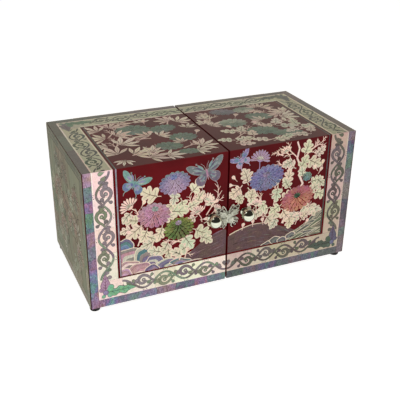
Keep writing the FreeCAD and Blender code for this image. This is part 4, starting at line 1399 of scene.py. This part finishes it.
def lathe(name, profile, axis, centre, segments):
    """A turned piece: profile is (radius, height) in millimetres along the axis, from the centre."""
    spin = Vector(axis).to_track_quat("Z", "Y").to_matrix()
    angles = np.linspace(0, 2 * math.pi, segments, endpoint=False)
    return ring_mesh(name, [
        [Vector(centre) * MM + spin @ Vector((radius * math.cos(a), radius * math.sin(a), height)) * MM
         for a in angles] for radius, height in profile])


def sink_faces():
    """The lacquer of covers and ends, set back so that the shell on it ends flush with the real surface."""
    for side, sign in SIDES.items():
        for node, body, slot in ((f"cover_top_{side}", f"cover_{side}", "red_lacquer"),
                                 (f"cover_front_{side}", f"cover_{side}", "red_lacquer"),
                                 (f"side_panel_{side}", "carcass", "nacre_veneer")):
            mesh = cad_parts[node].data.copy()
            for vertex in mesh.vertices:
                if body != "carcass" and abs(vertex.co.z / MM - top_z) < 0.01:
                    vertex.co.z -= inlay_depth * MM
                if body != "carcass" and abs(vertex.co.y / MM - front_y) < 0.01:
                    vertex.co.y += inlay_depth * MM
                if body == "carcass" and abs(vertex.co.x / MM - sign * side_x) < 0.01:
                    vertex.co.x -= sign * inlay_depth * MM
            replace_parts(new_piece(f"lacquer_{node}", body, slot, mesh, smooth=False), node)


def ball_profile(ball_radius, ball_height, flange_radius, flange_height, neck_radius):
    """A ball on a neck over a stepped flange, from its foot to its crown."""
    profile = [(flange_radius * 0.98, 0), (flange_radius, 0.3), (flange_radius, flange_height * 0.6),
               (flange_radius * 0.9, flange_height * 0.85), (neck_radius * 1.2, flange_height),
               (neck_radius, flange_height * 1.25)]
    first = math.asin(neck_radius / ball_radius)
    for angle in np.linspace(math.pi - first, 0.02, 26):
        profile.append((ball_radius * math.sin(angle), ball_height + ball_radius * math.cos(angle)))
    return profile


def half_height(node):
    """Half the height of a CAD node, which is a ball's radius."""
    low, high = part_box(node)
    return (high.z - low.z) / 2 / MM


def turn_knob(node, name, body, slot, face, flange, segments):
    """Turns a ball knob in place of a CAD node, with its flange (radius, height, neck) on the face."""
    low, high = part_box(node)
    middle = (low + high) / 2 / MM
    radius = half_height(node)
    profile = ball_profile(radius, face - low.y / MM - radius, *flange)
    mesh = lathe(node, profile, (0, -1, 0), (middle.x, face, middle.z), segments)
    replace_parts(new_piece(name, body, slot, mesh), node)


def make_knobs():
    """The ball knobs on the covers, and small ones on the drawers."""
    for side in SIDES:
        node, body = f"cover_knob_{side}", f"cover_{side}"
        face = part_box(node)[1].y / MM
        turn_knob(node, f"ball_knob_{side}", body, "polished_silver", face, (4.4, 2.0, 2.4), 48)
        for level in ("upper", "lower"):
            node, body = f"drawer_knob_{level}_{side}", f"drawer_{level}_{side}"
            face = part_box(f"drawer_front_{level}_{side}")[0].y / MM
            flange = (half_height(node) * 0.8, 1.2, 1.4)
            turn_knob(node, f"drawer_pull_{level}_{side}", body, "brass", face, flange, 32)


CAST_FORE_WING = [0.6 + 83j, 1.6 + 86.4j, 4.6 + 90.2j, 8.6 + 93.0j, 12.4 + 93.6j, 13.2 + 91.2j,
                  11.9 + 89.3j, 12.9 + 87.3j, 11.3 + 85.6j, 11.8 + 83.6j, 8.6 + 82.4j, 4.2 + 81.2j, 0.6 + 81j]
CAST_HIND_WING = [0.6 + 81.4j, 4.5 + 81j, 9.6 + 79.8j, 11.9 + 77.6j, 10.6 + 76.2j, 11.2 + 74.2j,
                  9.0 + 73.4j, 8.8 + 71.2j, 6.4 + 71.4j, 5.2 + 69.2j, 3.4 + 70.6j, 2.6 + 73.6j, 0.6 + 76j]
CAST_FEELER = [0.5 + 85j, 1.6 + 88.6j, 3.6 + 92.4j, 5.4 + 94.6j, 6.6 + 94.4j, 6.4 + 93.2j]


def wing_pieces():
    """The right half of the cast butterfly, in steps of height: plate, dark piercings, ribs and body.

    Pieces of stuff 0 are silver, those of stuff 1 dark.
    """
    silver, dark = (200, 204, 188), (30, 26, 24)
    pieces = []
    for outline, root, spokes in (
            (CAST_FORE_WING, 1.4 + 82.6j, ((13, 9.4), (27, 12.2), (41, 14.2), (56, 9.6))),
            (CAST_HIND_WING, 1.4 + 80.6j, ((-14, 9.2), (-36, 10.4), (-57, 10.4), (-77, 8.6)))):
        wing = smooth_closed(outline, 3)
        pieces += [Piece(wing, silver, 0), Piece(inset(wing, 0.75), dark, 1, 1)]
        for heading, reach in spokes:
            leaf = blade(reach * 0.8, reach * 0.2, 0.75, 7) * turned(heading) + root
            rib = band(np.linspace(0.1, 0.95, 5) * reach * turned(heading) + root, 0.5, 0.5)
            tip = disc(0.72, 9) + root + reach * 0.8 * turned(heading + 8)
            pieces += [Piece(leaf, silver, 2), Piece(rib, silver, 3), Piece(tip, silver, 3)]
    pieces.append(Piece(band(smooth_open(CAST_FEELER, 5), 0.9, 0.6), silver, 2))
    pieces.append(Piece(disc(0.62, 9) + 6.2 + 93.1j, silver, 3))
    for share, lift in ((1.0, 3), (0.8, 4), (0.6, 5)):
        body = [0.3 + 75.5j, 1.3 * share + 76.6j, 1.7 * share + 80j, 1.9 * share + 83j, 1.5 * share + 85.6j,
                0.3 + 86.6j]
        pieces.append(Piece(np.array(body), silver, lift))
    return pieces


def make_butterfly():
    """The cast butterfly over the gap, one wing on each cover."""
    stuff = [materials["antique_silver"], inlay_materials[LACQUER_LINE]]
    for side in SIDES:
        heights = (0.8, 0.3, 3.0)
        sheet = Sheet(f"butterfly_{side}", f"cover_{side}", over_front, "antique_silver", stuff, heights)
        sheet.lay(wing_pieces() if side == "right" else mirrored(wing_pieces()))
        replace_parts(sheet.build(), f"butterfly_wing_{side}")


def over_front(across, up, height):
    """A point above the real front face; the wings' skin swells towards their middle."""
    most, wing_reach = 0.5, 14
    swell = np.where(height > 0, most * np.sin(np.pi * np.clip(np.abs(across) / wing_reach, 0, 1)), 0)
    height = np.minimum(height + swell, front_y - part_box("butterfly_wing_right")[0].y / MM)
    return np.stack([across, front_y - height, up], axis=1)


def dress_drawers():
    """A fine line of shell round each drawer front, and a sprig on both sides of the knob."""
    line_inset, line_width, knob_room = 3, 0.8, 12
    for level, side in ((level, side) for side in SIDES for level in ("upper", "lower")):
        low, high = (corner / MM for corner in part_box(f"drawer_front_{level}_{side}"))
        face = low.y

        def on_drawer(across, up, height):
            """A point that high above the drawer's front."""
            return np.stack([across, face - height, up], axis=1)

        sheet = Sheet(f"drawer_inlay_{level}_{side}", f"drawer_{level}_{side}", on_drawer,
                      heights=(0.04, 0.004, 0.1))
        dice = random.Random(f"{level} {side}")
        left, right = low.x + line_inset, high.x - line_inset
        floor, top = low.z + line_inset, high.z - line_inset
        for corners in ((left, floor, right, floor + line_width), (left, top - line_width, right, top),
                        (left, floor, left + line_width, top), (right - line_width, floor, right, top)):
            sheet.lay([Piece(block(*corners), around(dice, MIST, 6), 0, ABALONE)])
        centre = (low.x + high.x) / 2 + 1j * (low.z + high.z) / 2
        for sign in (1, -1):
            sprig = placed(twig(dice, 30, 1.0, forks=1), knob_room)
            for x, turn in ((20, 50), (27, -50), (34, 40), (40, -8)):
                sprig += placed(lobed_leaf(dice, 12, 8), x, turn)
            flower = bloom(dice, 14, 12, (LILAC, ROSE, VIOLET), ((14, 0.4, 1.0), (9, 0.1, 0.6)))
            sprig += placed(flower, 47 + 1j)
            sheet.lay([p._replace(outline=stretched(p.outline, sign, 1) + centre) for p in sprig])
        sheet.build()


def soft_bar(low, high, along, rounding, crown=0.0, dice=None):
    """Rings of points round a bar with rounded edges and ends, along axis 0 or 1.

    With a crown its top swells by that much, and dice makes it uneven.
    """
    low, high = np.asarray(low, float), np.asarray(high, float)
    other = 1 - along
    length = high[along] - low[along]
    steps = np.concatenate([rounding * (1 - np.cos(np.linspace(0.12, np.pi / 2, 5))),
                            np.linspace(rounding, length - rounding, max(6, int(length / 4)))[1:-1],
                            length - rounding * (1 - np.cos(np.linspace(np.pi / 2, 0.12, 5)))])
    half_width, height = (high[other] - low[other]) / 2, high[2] - low[2]
    rows = []
    for d in steps:
        near_end = min(d, length - d)
        draw_in = rounding - math.sqrt(max(0.0, rounding ** 2 - max(0.0, rounding - near_end) ** 2))
        draw_in += dice.uniform(0, 0.12) if dice else 0.0
        row = []
        for corner, (sx, sz) in enumerate(((1, -1), (1, 1), (-1, 1), (-1, -1))):
            for angle in np.linspace(0, np.pi / 2, 5):
                turn = angle + (corner - 1) * np.pi / 2
                x = sx * (half_width - rounding) + rounding * math.cos(turn)
                z = (height - rounding if sz > 0 else rounding) + rounding * math.sin(turn)
                x *= 1 - draw_in / half_width
                z -= draw_in if z > height / 2 else 0.0
                if z > height / 2:
                    z -= crown * (x / half_width) ** 2
                point = np.zeros(3)
                point[along] = low[along] + d
                point[other] = low[other] + half_width + x
                point[2] = low[2] + z
                row.append(Vector(point) * MM)
        rows.append(row)
    return rows


def joined_skins(name, skins):
    """One mesh of several closed skins."""
    points, faces = [], []
    for rings in skins:
        part = ring_mesh(name, rings)
        start = len(points)
        points += [v.co.copy() for v in part.vertices]
        faces += [[start + i for i in p.vertices] for p in part.polygons]
        bpy.data.meshes.remove(part)
    return new_mesh(name, points, faces)


def islands(node):
    """The boxes of a CAD node's separate solids, in millimetres."""
    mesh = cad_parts[node].data
    root = list(range(len(mesh.vertices)))

    def find(k):
        """The vertex that stands for all that k hangs together with."""
        while root[k] != k:
            root[k] = root[root[k]]
            k = root[k]
        return k

    places = {}
    for k, vertex in enumerate(mesh.vertices):
        root[k] = places.setdefault(tuple(round(c, 7) for c in vertex.co), k)
    for polygon in mesh.polygons:
        first = find(polygon.vertices[0])
        for k in polygon.vertices[1:]:
            root[find(k)] = first
    groups = {}
    for k, vertex in enumerate(mesh.vertices):
        groups.setdefault(find(k), []).append(np.array(vertex.co) / MM)
    return [(np.min(g, axis=0), np.max(g, axis=0)) for g in groups.values()]


def make_linings():
    """Velvet in the trays: tubs with rolled edges, stuffed ring rolls, and covered dividers."""
    dice = random.Random("velvet")
    for side in SIDES:
        node = f"tray_lining_{side}"
        low, high = (np.array(corner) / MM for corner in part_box(node))
        thick = lining_thickness
        floor_high = np.array([high[0], high[1], low[2] + thick])
        margin = (0.3, 0.3, 0)
        walls = [soft_bar(low + margin, floor_high - margin, 0, rounding=0.6)]
        for along in (0, 1):
            for at_end in (False, True):
                a, b = low.copy(), high.copy()
                if at_end:
                    a[1 - along] = b[1 - along] - thick
                else:
                    b[1 - along] = a[1 - along] + thick
                walls.append(soft_bar(a, b, along, rounding=thick * 0.48, dice=dice))
        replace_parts(new_piece(f"velvet_{node}", "carcass", "velvet", joined_skins(node, walls)), node)
    rolls = [soft_bar(low, high, 0, rounding=2.6, crown=2.0, dice=dice)
             for low, high in islands("ring_rolls")]
    piece = new_piece("velvet_ring_rolls", "carcass", "velvet", joined_skins("ring_rolls", rolls))
    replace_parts(piece, "ring_rolls")
    bars = [soft_bar(low, high, int(high[0] - low[0] <= high[1] - low[1]), rounding=1.1, dice=dice)
            for low, high in islands("tray_dividers")]
    piece = new_piece("velvet_tray_dividers", "carcass", "velvet", joined_skins("tray_dividers", bars))
    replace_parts(piece, "tray_dividers")


def make_bumpers():
    """Felt dots with soft rims."""
    rim = ((0.9, 0), (1, 0.3), (1, 0.7), (0.9, 0.96), (0.4, 1))
    cap_radius = 0.2
    angles = np.linspace(0, 2 * math.pi, 28, endpoint=False)
    discs = []
    for low, high in islands("cover_bumpers"):
        middle, radius, thick = (low + high) / 2, (high[2] - low[2]) / 2, high[1] - low[1]
        profile = [(radius * across, thick * up) for across, up in rim]
        profile = [(cap_radius, 0), *profile, (cap_radius, thick)]
        discs.append([[Vector((middle[0] + r * math.cos(a), low[1] + h, middle[2] + r * math.sin(a))) * MM
                       for a in angles] for r, h in profile])
    piece = new_piece("felt_cover_bumpers", "carcass", "felt", joined_skins("cover_bumpers", discs))
    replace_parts(piece, "cover_bumpers")


def make_feet():
    """Low black feet, turned, a little rounded below."""
    for depth in ("front", "back"):
        for side in SIDES:
            node = f"foot_{depth}_{side}"
            low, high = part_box(node)
            radius, height = (high.x - low.x) / 2 / MM, (high.z - low.z) / MM
            profile = [(radius * 0.82, 0.0), (radius * 0.95, 0.3), (radius, 1.0), (radius, height * 0.7),
                       (radius * 0.97, height)]
            middle = (low + high) / 2 / MM
            mesh = lathe(node, profile, (0, 0, 1), (middle.x, middle.y, low.z / MM), 36)
            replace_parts(new_piece(f"rubber_{node}", "carcass", "black_rubber", mesh), node)


finish_cad_nodes()
sink_faces()
lay_borders()
lay_panels()
make_knobs()
make_butterfly()
make_feet()
make_linings()
make_bumpers()
dress_drawers()


# Stage, lamps and camera
def shown_rays(tree):
    """The light path's outputs, and a value that is 1 for rays that show things, straight or mirrored."""
    path = add(tree, "ShaderNodeLightPath").outputs
    shown = calculated(tree, "MAXIMUM", path["Is Camera Ray"], path["Is Glossy Ray"])
    return path, calculated(tree, "MAXIMUM", shown, path["Is Transmission Ray"])


def make_floor():
    """A grey floor that glows only where it is seen, so that it looks white and throws little light."""
    half, glow = 4.0, 0.88
    corners = [(-half, -half, 0), (half, -half, 0), (half, half, 0), (-half, half, 0)]
    mesh = new_mesh("floor", corners, [(0, 1, 2, 3)])
    floor = new_object("floor", mesh)
    material, tree, shader = new_material("pale_floor")
    set_up(shader, Base_Color=(0.45, 0.45, 0.45, 1), Roughness=1.0, Specular_IOR_Level=0.0,
           Emission_Color=(1, 1, 1, 1))
    shown = shown_rays(tree)[1]
    tree.links.new(calculated(tree, "MULTIPLY", shown, glow), shader.inputs["Emission Strength"])
    mesh.materials.append(material)


def facing(tree, direction, way):
    """How squarely a direction points one way."""
    inputs = {0: direction, 1: way}
    return add(tree, "ShaderNodeVectorMath", inputs, operation="DOT_PRODUCT").outputs["Value"]


def make_world():
    """Plain white for the camera; what mirrors see is white round the horizon behind and dark elsewhere.

    Diffuse light is warm and strongest in front.
    """
    world = bpy.data.worlds.new("studio")
    bpy.context.scene.world = world
    world.use_nodes = True
    tree = world.node_tree
    direction = add(tree, "ShaderNodeTexCoord").outputs["Generated"]
    height = add(tree, "ShaderNodeSeparateXYZ", {"Vector": direction}).outputs["Z"]
    path, shown = shown_rays(tree)
    behind, in_front = (0.4, 0.916, 0.0), (0.1, -0.99, 0.0)
    horizon = ranged(tree, facing(tree, direction, behind), 0.0, 0.66, 0.1, 0.45)
    sky = ranged(tree, calculated(tree, "SUBTRACT", height, horizon), 0.92, 0.03, 0.0, 0.12)
    ambient = ranged(tree, facing(tree, direction, in_front), 0.14, 0.72, -0.2, 1.0)
    direct = path["Is Camera Ray"]
    strength = mixed(tree, shown, ambient, sky, "FLOAT")
    strength = mixed(tree, direct, strength, 1.0, "FLOAT")
    colour = mixed(tree, direct, (1, 0.93, 0.82, 1), (1, 1, 1, 1))
    background = tree.nodes["Background"]
    tree.links.new(colour, background.inputs["Color"])
    tree.links.new(strength, background.inputs["Strength"])


def add_lamp(name, place, aim, size, power, colour, mirrored_too):
    """A square lamp turned to its aim; one that isn't mirrored shows in no reflection."""
    data = bpy.data.lights.new(name, "AREA")
    data.size, data.energy, data.color = size, power, colour
    lamp = new_object(name, data)
    lamp.location = place
    lamp.visible_glossy = mirrored_too
    lamp.rotation_mode = "QUATERNION"
    lamp.rotation_quaternion = (Vector(aim) - Vector(place)).to_track_quat("-Z", "Y")


def make_camera():
    """The photograph's view: turned from straight ahead, tipped down and a little rolled."""
    place = (-0.2784, -0.6345, 0.4151)
    film_width, focal_length = 36.0, 61.94
    turn, tip, roll = math.radians(23.62), math.radians(26.57), math.radians(0.54)
    ahead = Vector((math.sin(turn) * math.cos(tip), math.cos(turn) * math.cos(tip), -math.sin(tip)))
    right = Vector((math.cos(turn), -math.sin(turn), 0))
    up = right.cross(ahead)
    across = right * math.cos(roll) + up * math.sin(roll)
    upright = up * math.cos(roll) - right * math.sin(roll)
    data = bpy.data.cameras.new("camera")
    data.sensor_width, data.lens = film_width, focal_length
    data.clip_start, data.clip_end = 0.05, 20.0
    camera = new_object("camera", data)
    axes = Matrix((across, upright, -ahead)).transposed().to_4x4()
    camera.matrix_world = Matrix.Translation(place) @ axes
    bpy.context.scene.camera = camera


middle = (cad_low + cad_high) / 2
make_floor()
make_world()
WARM_WHITE = (1.0, 0.97, 0.935)
add_lamp("key", (-0.36, -1.0, 0.3), middle, size=0.5, power=6.7, colour=WARM_WHITE, mirrored_too=False)
add_lamp("softbox", (-0.82, 0.17, 1.18), middle, size=0.6, power=2.4, colour=WARM_WHITE, mirrored_too=True)
make_camera()

scene = bpy.context.scene
scene.view_settings.view_transform = "Standard"
